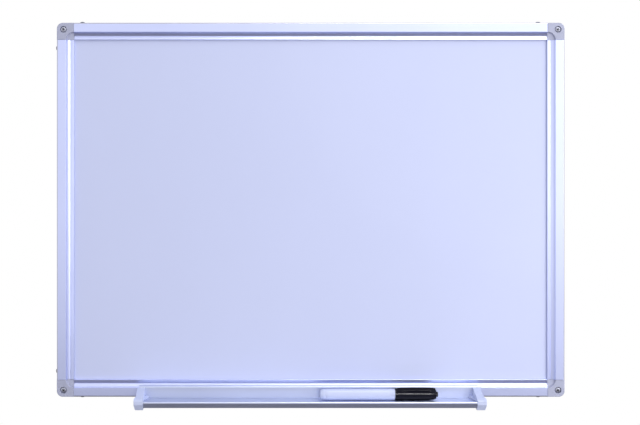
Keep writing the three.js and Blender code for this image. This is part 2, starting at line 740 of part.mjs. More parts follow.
for (const { name, turn, length, outward } of SIDES) {
  const side = new THREE.Group();
  side.rotation.y = THREE.MathUtils.degToRad(turn);
  const rail = pieceOf(`frame_rail_${name}`, frameRail(length), MATERIALS.aluminium);
  rail.position.z = outward;
  side.add(rail);
  screwPlaces(length).forEach((x, i) => {
    const fastener = pieceOf(`rail_screw_${name}_${i + 1}`, screw(RAIL_SCREW), MATERIALS.steelScrew);
    fastener.position.set(x, RAIL_SCREW_Y, outward + SEAT);
    fastener.rotation.x = -Math.PI / 2;
    side.add(fastener);
  });
  whiteboard.add(side);
}

const CORNERS = [
  { name: 'top_left', turn: 0, x: -HALF_WIDTH, z: HALF_HEIGHT },
  { name: 'top_right', turn: 90, x: HALF_WIDTH, z: HALF_HEIGHT },
  { name: 'bottom_right', turn: 180, x: HALF_WIDTH, z: -HALF_HEIGHT },
  { name: 'bottom_left', turn: 270, x: -HALF_WIDTH, z: -HALF_HEIGHT },
];

for (const { name, turn, x, z } of CORNERS) {
  const corner = new THREE.Group();
  corner.position.set(x, 0, z);
  corner.rotation.y = THREE.MathUtils.degToRad(turn);
  corner.add(pieceOf(`corner_cap_${name}`, cornerCap(), MATERIALS.greyPlastic));
  corner.add(pieceOf(`corner_bracket_${name}`, cornerBracket(), MATERIALS.greyPlastic));
  const fastener = pieceOf(`corner_screw_${name}`, screw(CORNER_SCREW), MATERIALS.steelScrew);
  const seat = CORNER_SCREW.sunk + CORNER_SCREW.height - FRAME_DEPTH;
  fastener.position.set(CORNER_SCREW.inset, seat, -CORNER_SCREW.inset);
  corner.add(fastener);
  whiteboard.add(corner);
}

const coreDepth = PANEL_FRONT + WRITING_SHEET + GLUE_LINE;
const backingDepth = coreDepth + CORE_THICKNESS + GLUE_LINE;
whiteboard.add(
  pieceOf('writing_sheet', layer(PANEL_FRONT, WRITING_SHEET), MATERIALS.whiteEnamel),
  pieceOf('core_board', layer(coreDepth, CORE_THICKNESS), MATERIALS.coreBoard),
  pieceOf('backing_sheet', layer(backingDepth, BACKING_SHEET), MATERIALS.backingSheet),
);

const tray = new THREE.Group();
tray.position.x = TRAY_OFFSET;
const trayEnd = TRAY_SPAN / 2 + SOCKET_DEPTH;
tray.add(
  pieceOf('tray_rail', traySection(-trayEnd, trayEnd), MATERIALS.aluminium),
  pieceOf('tray_end_left', trayEndCap(-1), MATERIALS.greyPlastic),
  pieceOf('tray_end_right', trayEndCap(1), MATERIALS.greyPlastic),
);
whiteboard.add(tray);

const marker = new THREE.Group();
marker.position.set(MARKER_START, -FRAME_DEPTH - MARKER_FORWARD, FLOOR_TOP + FIT + CAP_RADIUS_OUT);
marker.add(
  pieceOf('marker_plug', markerPlug(), MATERIALS.whitePlastic),
  pieceOf('marker_barrel', markerBarrel(), MATERIALS.whitePlastic),
  pieceOf('marker_holder', markerHolder(), MATERIALS.whitePlastic),
  pieceOf('marker_nib', markerNib(), MATERIALS.inkFelt),
  pieceOf('marker_reservoir', markerReservoir(), MATERIALS.inkFelt),
  pieceOf('marker_cap', markerCap(), MATERIALS.blackPlastic),
);
whiteboard.add(marker);

export default whiteboard;
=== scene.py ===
import math

import bmesh
import bpy
from mathutils import Matrix, Vector


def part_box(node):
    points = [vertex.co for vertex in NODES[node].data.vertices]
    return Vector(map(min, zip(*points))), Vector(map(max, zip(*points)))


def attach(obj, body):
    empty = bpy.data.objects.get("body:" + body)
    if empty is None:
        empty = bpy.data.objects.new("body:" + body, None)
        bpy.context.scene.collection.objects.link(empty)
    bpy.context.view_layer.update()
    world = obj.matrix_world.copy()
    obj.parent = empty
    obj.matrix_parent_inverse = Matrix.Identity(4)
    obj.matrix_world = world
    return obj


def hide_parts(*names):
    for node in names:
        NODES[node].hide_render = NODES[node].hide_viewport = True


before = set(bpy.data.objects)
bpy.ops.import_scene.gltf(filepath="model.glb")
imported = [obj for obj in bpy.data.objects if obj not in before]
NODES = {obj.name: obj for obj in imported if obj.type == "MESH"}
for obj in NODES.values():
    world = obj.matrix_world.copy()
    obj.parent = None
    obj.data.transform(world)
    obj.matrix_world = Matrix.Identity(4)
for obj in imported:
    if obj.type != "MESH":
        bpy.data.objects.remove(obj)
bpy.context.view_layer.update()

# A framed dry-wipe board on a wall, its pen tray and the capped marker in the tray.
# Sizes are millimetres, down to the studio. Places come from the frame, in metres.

MM = 0.001
FIT = 0.3  # clearance between pieces that fit into each other
SEAT = 0.1  # clearance between faces that rest on each other
PAST = 1  # how far one solid reaches past another where one cuts the other
ON_AXIS = 0.01  # radius at which a turned solid closes on its axis

# Rail section: widths run inward from the outer edge, depths back from the front plane
FLAT_WIDTH = 10.8
FLAT_EDGE = 0.35  # rounding where the flat turns down into the cove
FLAT_EDGE_RUN = 1  # how far on either side of that edge the rounding takes its direction from
COVE_WIDTH = 4.7
COVE_DEPTH = 4.2
COVE_SAG = 0.5  # how far the cove's face bows in from a straight chamfer
COVE_STEPS = 14
COVE_LEAD = 2  # degrees by which the cove's arc runs on under the flat's rounded edge
LIP_WIDTH = 4.5
LIP_RISE = 1.7
LIP_WALL = 1.3
LIP_NOSE = 0.9
LIP_CREASE = 0.3
LIP_BREAK = 0.35  # the lip's broken inner edge
LIP_ROUNDING = 0.35
LIP_EDGE_ROUNDING = 0.2
RAIL_WIDTH = FLAT_WIDTH + COVE_WIDTH + LIP_WIDTH
RAIL_WALL = 1.5
REAR_FLANGE = 17
FLANGE_ROUNDINGS = (0.25, 0.5)  # at the front and the back of the rear flange's edge
BACK_ROUNDING = 0.7  # where the outer side meets the back
OUTER_ROUNDING = 1.5
# painted shade: a darker line along the rails' rounded outer edge, standing in for the darker reflection
# there
PAINTED_EDGE_BAND = (0.75, 1.1)  # from the square corner that the rounding replaces, in roundings
PAINTED_EDGE_DARKENING = (0.77, 0.73, 0.64, 1)
SLOT_FRONT = COVE_DEPTH + LIP_WALL
SAWN_EDGE = 0.12

# Corner covers
COVER_RADIUS = 7
COVER_EDGE = 0.9  # rounding of the front edge
COVER_BACK = 0.4  # rounding of the back edge
EDGE_STEPS = 6
COVER_DRAFT = 0.35  # how far the edge beside a rail leans away from it, as a share of the rounding
COVER_PLATE = 1.6
CUP_WALL = 1
CUP_FLOOR = 1.4
CUP_EDGE = 0.4  # rounding of the counterbore's mouth
COUNTERBORE_GAP = 0.3
FAN_WALL = 0.8  # how wide the steep wall round the sunken fan is
FAN_DIP = 0.6  # how much deeper the fan lies at the inner corner than at its wall
FAN_SKIN = 2.1  # plastic under the fan at the inner corner
FAN_CREASE = 0.3  # rounding where the fan's wall meets its floor
CORNER_STEPS = 24
ROUND_SIDES = 96

# Screws
SCREW_SUNK = 0.3  # corner screw's head behind the front plane
SCREW_SIDES = 48
BORE_SIDES = 32
HEAD_HEIGHT = 2.3
HEAD_RIM = 0.42  # share of the head's height below its dome
HEAD_EDGE = 0.12  # break of the rim's edge at the seat
DOME_STEPS = 14
CORNER_SCREW = {"head": 7, "shank": 3.4, "length": 11}
RAIL_SCREW = {"head": 5.6, "shank": 2.9, "length": 8}
THREAD_START = 1
THREAD_PITCH = 1.1
THREAD_DEPTH = 0.28
THREAD_VALLEY = (0.2, 0.55)  # where the thread's valley and crest begin and end, in pitches
THREAD_CREST = (0.8, 0.95)
RECESS = {"width": 3.6, "arm": 1.1, "depth": 1.5, "taper": 0.5}
RECESS_MOUTH = (0.2, 1.06)  # how far over the head the cross begins, and its scale there
# painted shade in the cross recess: the next two give its reach
SHADE_BESIDE = 0.2  # how far the dark in a cross recess reaches past its arms
SHADE_BELOW = 0.3  # how far it ends short of the mouth
RAIL_SCREW_TURN = 0.7  # radians from one cross recess to the next
CORNER_SCREW_TURNS = (0.5, 1.1)  # the first one's turn, and the turn from each to the next
KEY_EDGE = 0.25  # rounding of the brackets' edges

# Tray section
TRAY_WALL = 1.2
GROOVE = 0.35  # radius of the fine groove where the tray's floor meets its back plate
GROOVE_SIDES = 24
TRAY_BEND = 1.1  # radii of the wall's middle at its bends
HOOK_BEND = 0.95
PLATE_BEND = 0.95
HOOK_DEPTH = 1.8
FLOOR_DROP = 1.2
FLOOR_REACH = 29.8
RAMP_SLOPE = 35
BEAD_INSIDE = 0.5
BEAD_LIFT = 0.2
BEAD_STEPS = 16
NOSE_SLOPE = 60
NOSE_LENGTH = 5.6
NOSE_RETURN = 2.8
RETURN_REACH = 5

# Tray end caps
LEG_WIDTH = 8.8
BLOCK_WIDTH = 10.8
SOCKET_DEPTH = 7
SOCKET_FIT = 0.9  # the socket's clearance as a share of the usual one
LEG_TOP_GAP = 0.4
LEG_CREST = 2.5
FACE_MARGIN = 0.7
CREST_RISE = 3.7
CREST_SETBACK = 2.4
FACE_RISE = 1.8
FACE_FALL = 2.2
CORNER_EASE = (2, 0.4)  # the front corner slopes to a point this far in from the side and past the face
TOE_FALL = 8.8
TOE_SETBACK = 3.8
TOE_LENGTH = 6
FLARE_START = 23
FLARE_END = 31
FLANGE_SKIN = 0.6
HEEL_FALL = 4.2
TOE_DRAFT = 1.6
DRAFT_LEAD = 1  # how far above the draft's start its outline follows the side
DRAFT_PAST = 0.5  # how far below the toe it goes on
WEB_REACH = 4.5
WEB_TIP = 1.5
WEB_LENGTH = 12
WEB_HEIGHT = 3
WEB_EDGE = 0.8
WEB_ROUNDING = 0.35
END_CAP_EDGE = 0.55

# Marker, along it from its rear end
MARKER_SIDES = 96
PLUG_LENGTH = 7
PLUG_SPIGOT = 7
PLUG_END_RADIUS = 5
PLUG_SWELL = (0.45, 0.3)  # a place as a share of its length, and how much thinner than the barrel it is there
BARREL_RADIUS = 6.4
BARREL_BORE = 5.1
BARREL_LENGTH = 78.4
COLLAR_LENGTH = 1.3
HOLDER_SPIGOT = 8.5
NECK_RADIUS = 5.3
NECK_LENGTH = 14
NECK_BEAD = 0.22  # how far the ring round the neck stands out
NECK_BEAD_PLACE = 0.6  # as a share of the neck
NECK_BEAD_HALF = 1
SHOULDER_LENGTH = 6
TIP_TUBE_RADIUS = 3.2
TIP_TUBE_LENGTH = 5
TIP_TAPER = 0.3
NIB_RADIUS = 1.9
NIB_BULLET = 1.4  # length of its rounded tip, in radii
NIB_WORN = 4  # degrees short of its axis at which the tip's curve ends
NIB_SIDES = 48
NIB_SHOWN = 5
CAP_LENGTH = 50.1
CAP_WALL = 1.35
CAP_BORE_RADIUS = 4.2
CAP_BORE_REACH = 14
CAP_SHOULDER = 8
CAP_SHOULDER_FALL = 0.5  # how much thinner the cap is halfway down its shoulder
CAP_END_RADIUS = 5.4
NUB_RADIUS = 3
NUB_LENGTH = 2.2
CLIP = {
    "width": 5.4,
    "thickness": 1.2,
    "edge": 0.4,
    "gap": 0.5,  # under its free end, where its bow begins
    "bow": 0.9,
    "turn": 40,  # degrees forward of upright
    "free": 2.5,  # from the cap's mouth to the free end
    "end": 1,  # from the root's end to the nub
    "root": 6,
    "foot": 1,  # how near to the cap's axis the root reaches
    "steps": 28,
    "sink": 3,  # how many of the steps its top takes to sink at the root
}

# Places read from the frame
HALF_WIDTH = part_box("frame_rail_right")[1].x
HALF_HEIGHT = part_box("frame_rail_top")[1].z
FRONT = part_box("frame_rail_top")[0].y
FRAME_DEPTH = -FRONT / MM
SLOT_REAR = FRAME_DEPTH - RAIL_WALL
CHAMBER_WIDTH = FLAT_WIDTH - 2 * RAIL_WALL


# Outlines


def arc(centre, radii, start, end, steps):
    """Points on an arc of an ellipse between two angles in degrees."""
    points = []
    for i in range(steps + 1):
        angle = math.radians(start + (end - start) * i / steps)
        points.append((centre[0] + radii[0] * math.cos(angle), centre[1] + radii[1] * math.sin(angle)))
    return points


def soften(corners, closed=True, steps=6):
    """A line through corners, each (a, b) or (a, b, radius), rounded where a radius is given."""
    points = []
    last = len(corners) - 1
    for i, (a, b, *rounding) in enumerate(corners):
        here = Vector((a, b))
        if not rounding or (not closed and i in (0, last)):
            points.append(here)
            continue
        before = (Vector(corners[i - 1][:2]) - here).normalized()
        after = (Vector(corners[(i + 1) % (last + 1)][:2]) - here).normalized()
        half = before.angle(after) / 2
        centre = here + (before + after).normalized() * rounding[0] / math.sin(half)
        start = here + before * rounding[0] / math.tan(half) - centre
        end = here + after * rounding[0] / math.tan(half) - centre
        sweep = math.copysign(math.pi - 2 * half, start.x * end.y - start.y * end.x)
        for step in range(steps + 1):
            points.append(centre + Matrix.Rotation(sweep * step / steps, 2) @ start)
    return [tuple(point) for point in points]


def strip(path, thickness, end_steps=8):
    """The outline of sheet metal whose middle follows a path, with round ends."""
    points = [Vector(point) for point in path]
    normals = []
    for i in range(len(points)):
        along = points[min(i + 1, len(points) - 1)] - points[max(i - 1, 0)]
        normals.append(Vector((-along.y, along.x)).normalized())
    half = thickness / 2
    left = [point + normal * half for point, normal in zip(points, normals)]
    right = [point - normal * half for point, normal in zip(points, normals)]

    def round_end(centre, normal):
        turns = [-math.pi * step / end_steps for step in range(1, end_steps)]
        return [centre + Matrix.Rotation(turn, 2) @ normal * half for turn in turns]

    far = round_end(points[-1], normals[-1])
    near = round_end(points[0], -normals[0])
    return [tuple(point) for point in left + far + right[::-1] + near]


# Solids


def added(name, data):
    """A new object in the scene's collection."""
    thing = bpy.data.objects.new(name, data)
    bpy.context.scene.collection.objects.link(thing)
    return thing


def from_bmesh(name, bm):
    """A new object with what was built in bmesh, which is used up."""
    mesh = bpy.data.meshes.new(name)
    bm.to_mesh(mesh)
    bm.free()
    return added(name, mesh)


def loft(name, rings, cyclic=False):
    """A closed solid through rings of points, with flat ends unless the rings close on themselves."""
    bm = bmesh.new()
    loops = [[bm.verts.new(point) for point in ring] for ring in rings]
    pairs = list(zip(loops, loops[1:]))
    if cyclic:
        pairs.append((loops[-1], loops[0]))
    else:
        bm.faces.new(loops[0])
        bm.faces.new(loops[-1])
    for one, other in pairs:
        for i in range(len(one)):
            j = (i + 1) % len(one)
            bm.faces.new((one[i], one[j], other[j], other[i]))
    bmesh.ops.recalc_face_normals(bm, faces=bm.faces)
    return from_bmesh(name, bm)


def prism(name, outline, to_space, start, end):
    """An outline carried straight from one place to another; to_space(along, a, b) is in millimetres."""
    rings = [[Vector(to_space(along, a, b)) * MM for a, b in outline] for along in (start, end)]
    return loft(name, rings)


def along_y(y, x, z):
    return (x, y, z)


def along_z(z, x, y):
    return (x, y, z)


def turned(name, profile, sides, cyclic=False):
    """A profile of (along, radius) turned about the X axis, in millimetres."""
    turns = [math.tau * i / sides for i in range(sides)]
    rings = []
    for along, radius in profile:
        rings.append([Vector((along, radius * math.cos(t), radius * math.sin(t))) * MM for t in turns])
    return loft(name, rings, cyclic)


def turned_back(name, profile, sides, x, z):
    """The same with its axis along Y, through a point in millimetres; lengths run back."""
    solid = turned(name, profile, sides)
    move = Matrix.Translation((x * MM, 0, z * MM))
    solid.data.transform(move @ Matrix.Rotation(math.pi / 2, 4, "Z"))
    return solid


def settle(solid):
    """Makes what the modifiers give the solid's own mesh, with its faces turned outward."""
    graph = bpy.context.evaluated_depsgraph_get()
    mesh = bpy.data.meshes.new_from_object(solid.evaluated_get(graph))
    solid.modifiers.clear()
    solid.data = mesh
    bm = bmesh.new()
    bm.from_mesh(mesh)
    bmesh.ops.remove_doubles(bm, verts=bm.verts, dist=1e-7)
    bmesh.ops.recalc_face_normals(bm, faces=bm.faces)
    bm.to_mesh(mesh)
    bm.free()
    return solid


def combine(solid, other, operation="DIFFERENCE"):
    """Cuts, joins or meets a solid with another, which is used up."""
    modifier = solid.modifiers.new(operation.title(), "BOOLEAN")
    modifier.operation = operation
    modifier.object = other
    modifier.solver = "EXACT"
    settle(solid)
    bpy.data.objects.remove(other)
    return solid


def bevel(solid, width, segments=3, angle=50):
    """Rounds the edges that turn by more than an angle in degrees."""
    modifier = solid.modifiers.new("Bevel", "BEVEL")
    modifier.width = width * MM
    modifier.segments = segments
    modifier.limit_method = "ANGLE"
    modifier.angle_limit = math.radians(angle)
    return settle(solid)


def copy_of(name, node):
    """A copy of a CAD node's solid with its flat faces made whole, ready to be finished."""
    bm = bmesh.new()
    bm.from_mesh(NODES[node].data)
    bmesh.ops.remove_doubles(bm, verts=bm.verts, dist=1e-6)
    bmesh.ops.dissolve_limit(bm, angle_limit=math.radians(1), verts=bm.verts, edges=bm.edges)
    return from_bmesh(name, bm)


def dress(solid, material, slot, body, node, smooth=32):
    """Shades a piece, gives it its finish and puts it in its node's place."""
    solid.data.shade_smooth()
    solid.data.set_sharp_from_angle(angle=math.radians(smooth))
    weighted = solid.modifiers.new("Normals", "WEIGHTED_NORMAL")
    weighted.keep_sharp = True
    weighted.weight = 100
    solid.data.materials.clear()
    solid.data.materials.append(material)
    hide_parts(node)
    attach(solid, body)
    return solid


# Materials


def linear(red, green, blue):
    """A colour given as 0 to 255 on a screen, as the shader's values."""

    def value(channel):
        level = channel / 255
        return level / 12.92 if level <= 0.04045 else ((level + 0.055) / 1.055) ** 2.4

    return (value(red), value(green), value(blue), 1)


class Surface:
    """A Principled material under construction, whose patterns lie in the piece's own coordinates."""

    def __init__(self, name, colour, roughness, **values):
        self.material = bpy.data.materials.new(name)
        self.material.use_nodes = True
        self.nodes = self.material.node_tree.nodes
        self.links = self.material.node_tree.links
        self.shader = self.nodes["Principled BSDF"]
        self.shader.inputs["Base Color"].default_value = colour
        self.shader.inputs["Roughness"].default_value = roughness
        for socket, value in values.items():
            self.shader.inputs[socket.replace("_", " ")].default_value = value
        self.place = self.nodes.new("ShaderNodeTexCoord").outputs["Object"]
        self.height = None

    def scaled(self, scale, shift=(0, 0, 0)):
        mapping = self.nodes.new("ShaderNodeMapping")
        mapping.inputs["Scale"].default_value = scale
        mapping.inputs["Location"].default_value = shift
        self.links.new(self.place, mapping.inputs["Vector"])
        return mapping.outputs["Vector"]

    def distance(self, scale, shift):
        """The distance from a middle, 1 on the ellipsoid that the scale gives.

        A scale of 0 leaves that direction out.
        """
        length = self.nodes.new("ShaderNodeVectorMath")
        length.operation = "LENGTH"
        self.links.new(self.scaled(scale, shift), length.inputs[0])
        return length.outputs["Value"]

    def noise(self, scale, detail=2.0, rough=0.5, stretch=None):
        texture = self.nodes.new("ShaderNodeTexNoise")
        texture.inputs["Scale"].default_value = scale
        texture.inputs["Detail"].default_value = detail
        texture.inputs["Roughness"].default_value = rough
        source = self.scaled(stretch) if stretch else self.place
        self.links.new(source, texture.inputs["Vector"])
        return texture.outputs["Fac"]

    def cells(self, scale):
        texture = self.nodes.new("ShaderNodeTexVoronoi")
        texture.inputs["Scale"].default_value = scale
        self.links.new(self.place, texture.inputs["Vector"])
        return texture.outputs["Color"]

    def spread(self, value, low, high, first=0.3, last=0.7):
        """A pattern's value, from first to last, brought to the range from low to high."""
        node = self.nodes.new("ShaderNodeMapRange")
        node.inputs["From Min"].default_value = first
        node.inputs["From Max"].default_value = last
        node.inputs["To Min"].default_value = low
        node.inputs["To Max"].default_value = high
        self.links.new(value, node.inputs["Value"])
        return node.outputs["Result"]

    def tint(self, value, one, other):
        """Colours the surface between two colours by a value from 0 to 1."""
        mix = self.nodes.new("ShaderNodeMix")
        mix.data_type = "RGBA"
        mix.inputs["A"].default_value = one
        mix.inputs["B"].default_value = other
        self.links.new(value, mix.inputs["Factor"])
        self.links.new(mix.outputs["Result"], self.shader.inputs["Base Color"])
        return self

    def darken(self, value, factors):
        """Multiplies the tinted colour by one factor for each channel, in full where the value is 1."""
        mix = self.nodes.new("ShaderNodeMix")
        mix.data_type = "RGBA"
        mix.blend_type = "MULTIPLY"
        mix.inputs["B"].default_value = factors
        self.links.new(value, mix.inputs["Factor"])
        colour = self.shader.inputs["Base Color"]
        self.links.new(colour.links[0].from_socket, mix.inputs["A"])
        self.links.new(mix.outputs["Result"], colour)
        return self

    def roughen(self, value):
        self.links.new(value, self.shader.inputs["Roughness"])
        return self

    def bump(self, value, depth):
        """Raises the surface by a pattern, depth in millimetres."""
        bump = self.nodes.new("ShaderNodeBump")
        bump.inputs["Distance"].default_value = depth * MM
        self.links.new(value, bump.inputs["Height"])
        if self.height:
            self.links.new(self.height, bump.inputs["Normal"])
        self.height = bump.outputs["Normal"]
        self.links.new(self.height, self.shader.inputs["Normal"])
        return self


def shade(colour, factor):
    return tuple(channel * factor for channel in colour[:3]) + (1,)


def drawn_metal(name, colour, roughness, painted_edge_shade=False):
    """Satin anodised aluminium with fine drawing lines along X and, on a rail, painted shade along its
    rounded outer edge.
    """
    surface = Surface(name, colour, roughness, Metallic=1.0)
    lines = surface.noise(1000, detail=3, rough=0.6, stretch=(0.02, 1.6, 1.6))
    clouds = surface.noise(9, detail=3)
    surface.tint(surface.spread(clouds, 0, 1), shade(colour, 0.97), shade(colour, 1.02))
    surface.roughen(surface.spread(lines, roughness - 0.05, roughness + 0.07))
    surface.bump(lines, depth=0.004)
    if painted_edge_shade:
        reach = 1 / (OUTER_ROUNDING * MM)
        from_edge = surface.distance((0, reach, reach), (0, FRAME_DEPTH * MM * reach, 0))
        # painted shade along the rounded outer edge
        surface.darken(surface.spread(from_edge, 1, 0, *PAINTED_EDGE_BAND), PAINTED_EDGE_DARKENING)
    return surface.material


def moulded(name, colour, roughness, grain=0.012, cloud=1.0):
    """Moulded plastic with a fine spark-eroded grain and slight flow clouds."""
    surface = Surface(name, colour, roughness)
    clouds = surface.spread(surface.noise(60, detail=4), 0, 1)
    surface.tint(clouds, shade(colour, 1 - 0.04 * cloud), shade(colour, 1 + 0.03 * cloud))
    grains = surface.noise(1400)
    surface.roughen(surface.spread(grains, roughness - 0.06, roughness + 0.08))
    surface.bump(grains, depth=grain)
    return surface.material


def glossy_black(name, colour):
    """Dense black polypropylene that mirrors little, with a few fine rubbing marks."""
    surface = Surface(name, colour, 0.08, Specular_IOR_Level=0.07)
    rubbing = surface.noise(500, detail=4, rough=0.6, stretch=(0.1, 1, 1))
    surface.roughen(surface.spread(rubbing, 0.05, 0.11))
    surface.bump(surface.noise(900), depth=0.0004)
    return surface.material


def plated_steel(name, colour, roughness):
    """Plating with fine scuffs, and painted shade round the floor of the cross recess and up to near its
    mouth.
    """
    surface = Surface(name, colour, roughness, Metallic=1.0)
    reach = RECESS["width"] / 2 + SHADE_BESIDE
    depth = RECESS["depth"] - SHADE_BELOW
    scale = tuple(1 / (size * MM) for size in (reach, depth, reach))
    from_recess = surface.distance(scale, (0, (HEAD_HEIGHT - RECESS["depth"]) / depth, 0))
    # painted shade in the cross recess, darkest at its floor
    surface.tint(surface.spread(from_recess, 0, 1, first=0.85, last=1.05), shade(colour, 0.2), colour)
    scuffs = surface.noise(2600, detail=3)
    surface.roughen(surface.spread(scuffs, roughness - 0.08, roughness + 0.12))
    surface.bump(scuffs, depth=0.004)
    return surface.material


def enamel(name, colour):
    """Glossy enamel on steel: a faint orange peel, wiping haze and a few cloudy places."""
    surface = Surface(name, colour, 0.2, Coat_Weight=0.35, Coat_Roughness=0.06)
    clouds = surface.noise(5, detail=3, stretch=(1, 1, 0.6))
    surface.tint(surface.spread(clouds, 0, 1), shade(colour, 0.985), shade(colour, 1.01))
    wipes = surface.noise(40, detail=4, rough=0.6, stretch=(0.15, 1, 1))
    surface.roughen(surface.spread(wipes, 0.17, 0.25))
    surface.bump(surface.noise(260), depth=0.003)
    return surface.material


def zinc_spangle(name, colour):
    """Galvanised sheet: flat crystals that each catch the light a little differently."""
    surface = Surface(name, colour, 0.42, Metallic=0.85)
    crystals = surface.cells(70)
    surface.tint(surface.spread(crystals, 0, 1, first=0, last=1), shade(colour, 0.78), shade(colour, 1.12))
    surface.roughen(surface.spread(crystals, 0.34, 0.52, first=0, last=1))
    return surface.material


def fibre(name, colour, scale, depth):
    """Pressed or felted fibres, rough and uneven in colour."""
    surface = Surface(name, colour, 0.95)
    strands = surface.noise(scale, detail=6, rough=0.7)
    surface.tint(surface.spread(strands, 0, 1), shade(colour, 0.7), shade(colour, 1.2))
    surface.bump(strands, depth)
    return surface.material


ALUMINIUM = drawn_metal("satin_aluminium", linear(203, 210, 247), 0.34, painted_edge_shade=True)
TRAY_METAL = drawn_metal("tray_aluminium", linear(197, 204, 229), 0.36)
GREY_PLASTIC = moulded("grey_plastic", linear(181, 185, 211), 0.42)
PALE_PLASTIC = moulded("pale_grey_plastic", linear(208, 217, 249), 0.4)
BRACKET_PLASTIC = moulded("bracket_plastic", linear(96, 98, 108), 0.55)
SCREW_STEEL = plated_steel("screw_steel", linear(90, 91, 104), 0.32)
BRIGHT_STEEL = plated_steel("bright_screw_steel", linear(170, 172, 187), 0.42)
ENAMEL = enamel("white_enamel", linear(210, 218, 254))
FIBREBOARD = fibre("core_fibreboard", linear(150, 112, 74), scale=900, depth=0.08)
ZINC = zinc_spangle("galvanised_steel", linear(170, 173, 180))
MARKER_WHITE = moulded("marker_white", linear(208, 217, 249), 0.3, grain=0.0006, cloud=0.3)
MARKER_BLACK = glossy_black("marker_black", linear(9, 9, 16))
INK_FELT = fibre("ink_felt", linear(18, 18, 24), scale=4000, depth=0.05)


# Frame


COVE_START = Vector((FLAT_WIDTH, 0))
COVE_END = Vector((FLAT_WIDTH + COVE_WIDTH, COVE_DEPTH))
COVE_CHORD = COVE_END - COVE_START
COVE_RADIUS = (COVE_CHORD.length ** 2 / 4 + COVE_SAG ** 2) / (2 * COVE_SAG)
COVE_FACING = Vector((COVE_CHORD.y, -COVE_CHORD.x)).normalized()
COVE_CENTRE = (COVE_START + COVE_END) / 2 + COVE_FACING * (COVE_RADIUS - COVE_SAG)


def cove_bearing(point):
    return math.degrees(math.atan2(point.y - COVE_CENTRE.y, point.x - COVE_CENTRE.x))


def cove_depth(inward):
    """How deep the cove's face lies, at a place across the rail."""
    return COVE_CENTRE.y + math.sqrt(COVE_RADIUS ** 2 - (inward - COVE_CENTRE.x) ** 2)


def cove_inward(depth, distance):
    """How far inward a face at a distance in front of the cove lies, at a depth."""
    return COVE_CENTRE.x - math.sqrt((COVE_RADIUS - distance) ** 2 - (depth - COVE_CENTRE.y) ** 2)


def face_profile():
    """The front of the rail as (inward, depth), from the flat's edge over the cove to the lip."""
    start = cove_bearing(COVE_START)
    end = cove_bearing(COVE_END)
    edge = soften([
        (FLAT_WIDTH - FLAT_EDGE_RUN, 0),
        (FLAT_WIDTH, 0, FLAT_EDGE),
        (FLAT_WIDTH + FLAT_EDGE_RUN, cove_depth(FLAT_WIDTH + FLAT_EDGE_RUN)),
    ], closed=False, steps=5)[1:-1]
    cove = arc(COVE_CENTRE, (COVE_RADIUS, COVE_RADIUS), start - COVE_LEAD, end, COVE_STEPS)[1:-1]
    lip = soften([
        cove[-1],
        (*COVE_END, LIP_CREASE),
        (RAIL_WIDTH - LIP_BREAK, COVE_DEPTH - LIP_RISE, LIP_ROUNDING),
        (RAIL_WIDTH, COVE_DEPTH - LIP_RISE + LIP_BREAK, LIP_EDGE_ROUNDING),
        (RAIL_WIDTH, SLOT_FRONT),
    ], closed=False)
    return edge + cove + lip[1:-1]


def rail_outline():
    back = FRAME_DEPTH
    outer = arc((OUTER_ROUNDING, OUTER_ROUNDING), (OUTER_ROUNDING, OUTER_ROUNDING), 180, 270, steps=8)
    slot = soften([
        (RAIL_WIDTH, SLOT_FRONT, LIP_EDGE_ROUNDING),
        (RAIL_WIDTH - LIP_NOSE, SLOT_FRONT),
        (RAIL_WIDTH - LIP_NOSE, COVE_DEPTH - LIP_RISE + LIP_WALL),
        (FLAT_WIDTH + COVE_WIDTH, SLOT_FRONT),
        (FLAT_WIDTH, SLOT_FRONT),
        (FLAT_WIDTH, SLOT_REAR),
        (REAR_FLANGE, SLOT_REAR, FLANGE_ROUNDINGS[0]),
        (REAR_FLANGE, back, FLANGE_ROUNDINGS[1]),
        (0, back, BACK_ROUNDING),
        (0, OUTER_ROUNDING),
    ], closed=False)
    return outer + face_profile() + slot[:-1]


def rail_space(along, inward, depth):
    return (along, depth - FRAME_DEPTH, -inward)


def rail(name, node, side):
    """A rail in its side's own frame: X along it, Z outward with the outer edge at 0."""
    low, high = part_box(node)
    half = max(high.x - low.x, high.z - low.z) / 2 / MM
    chamber = [
        (RAIL_WALL, RAIL_WALL),
        (RAIL_WALL + CHAMBER_WIDTH, RAIL_WALL),
        (RAIL_WALL + CHAMBER_WIDTH, SLOT_REAR),
        (RAIL_WALL, SLOT_REAR),
    ]
    solid = prism(name, rail_outline(), rail_space, -half, half)
    combine(solid, prism("chamber", chamber, rail_space, -half - PAST, half + PAST))
    radius = RAIL_SCREW["shank"] / 2 + FIT
    for x, y in side["screws"]:
        bore = turned("bore", [(-RAIL_WALL - PAST, radius), (PAST, radius)], BORE_SIDES)
        move = Matrix.Translation((x, y, 0))
        bore.data.transform(move @ Matrix.Rotation(-math.pi / 2, 4, "Y"))
        combine(solid, bore)
    bevel(solid, SAWN_EDGE, segments=2, angle=60)
    solid.matrix_world = side["frame"]
    return dress(solid, ALUMINIUM, "aluminium", "board", node)


def corner_outline(inset, reach):
    """A square with one round corner at the board's corner, set in from the board's edges."""
    radius = COVER_RADIUS - inset
    return [
        (reach, -inset),
        *arc((COVER_RADIUS, -COVER_RADIUS), (radius, radius), 90, 180, CORNER_STEPS),
        (inset, -reach),
        (reach, -reach),
    ]


def cover_shell(name):
    """A corner cap's block, rounded at the back and the front, but less so beside the rails."""
    turns = [math.radians(90 * step / EDGE_STEPS) for step in range(EDGE_STEPS + 1)]
    rings = [(COVER_BACK * (1 - math.sin(t)), -COVER_BACK * (1 - math.cos(t))) for t in turns]
    rings += [(COVER_EDGE * (1 - math.cos(t)), -FRAME_DEPTH + COVER_EDGE * (1 - math.sin(t))) for t in turns]
    points = []
    for inset, y in rings:
        outline = corner_outline(inset, RAIL_WIDTH - COVER_DRAFT * inset)
        points.append([Vector((x, y, z)) * MM for x, z in outline])
    return loft(name, points)


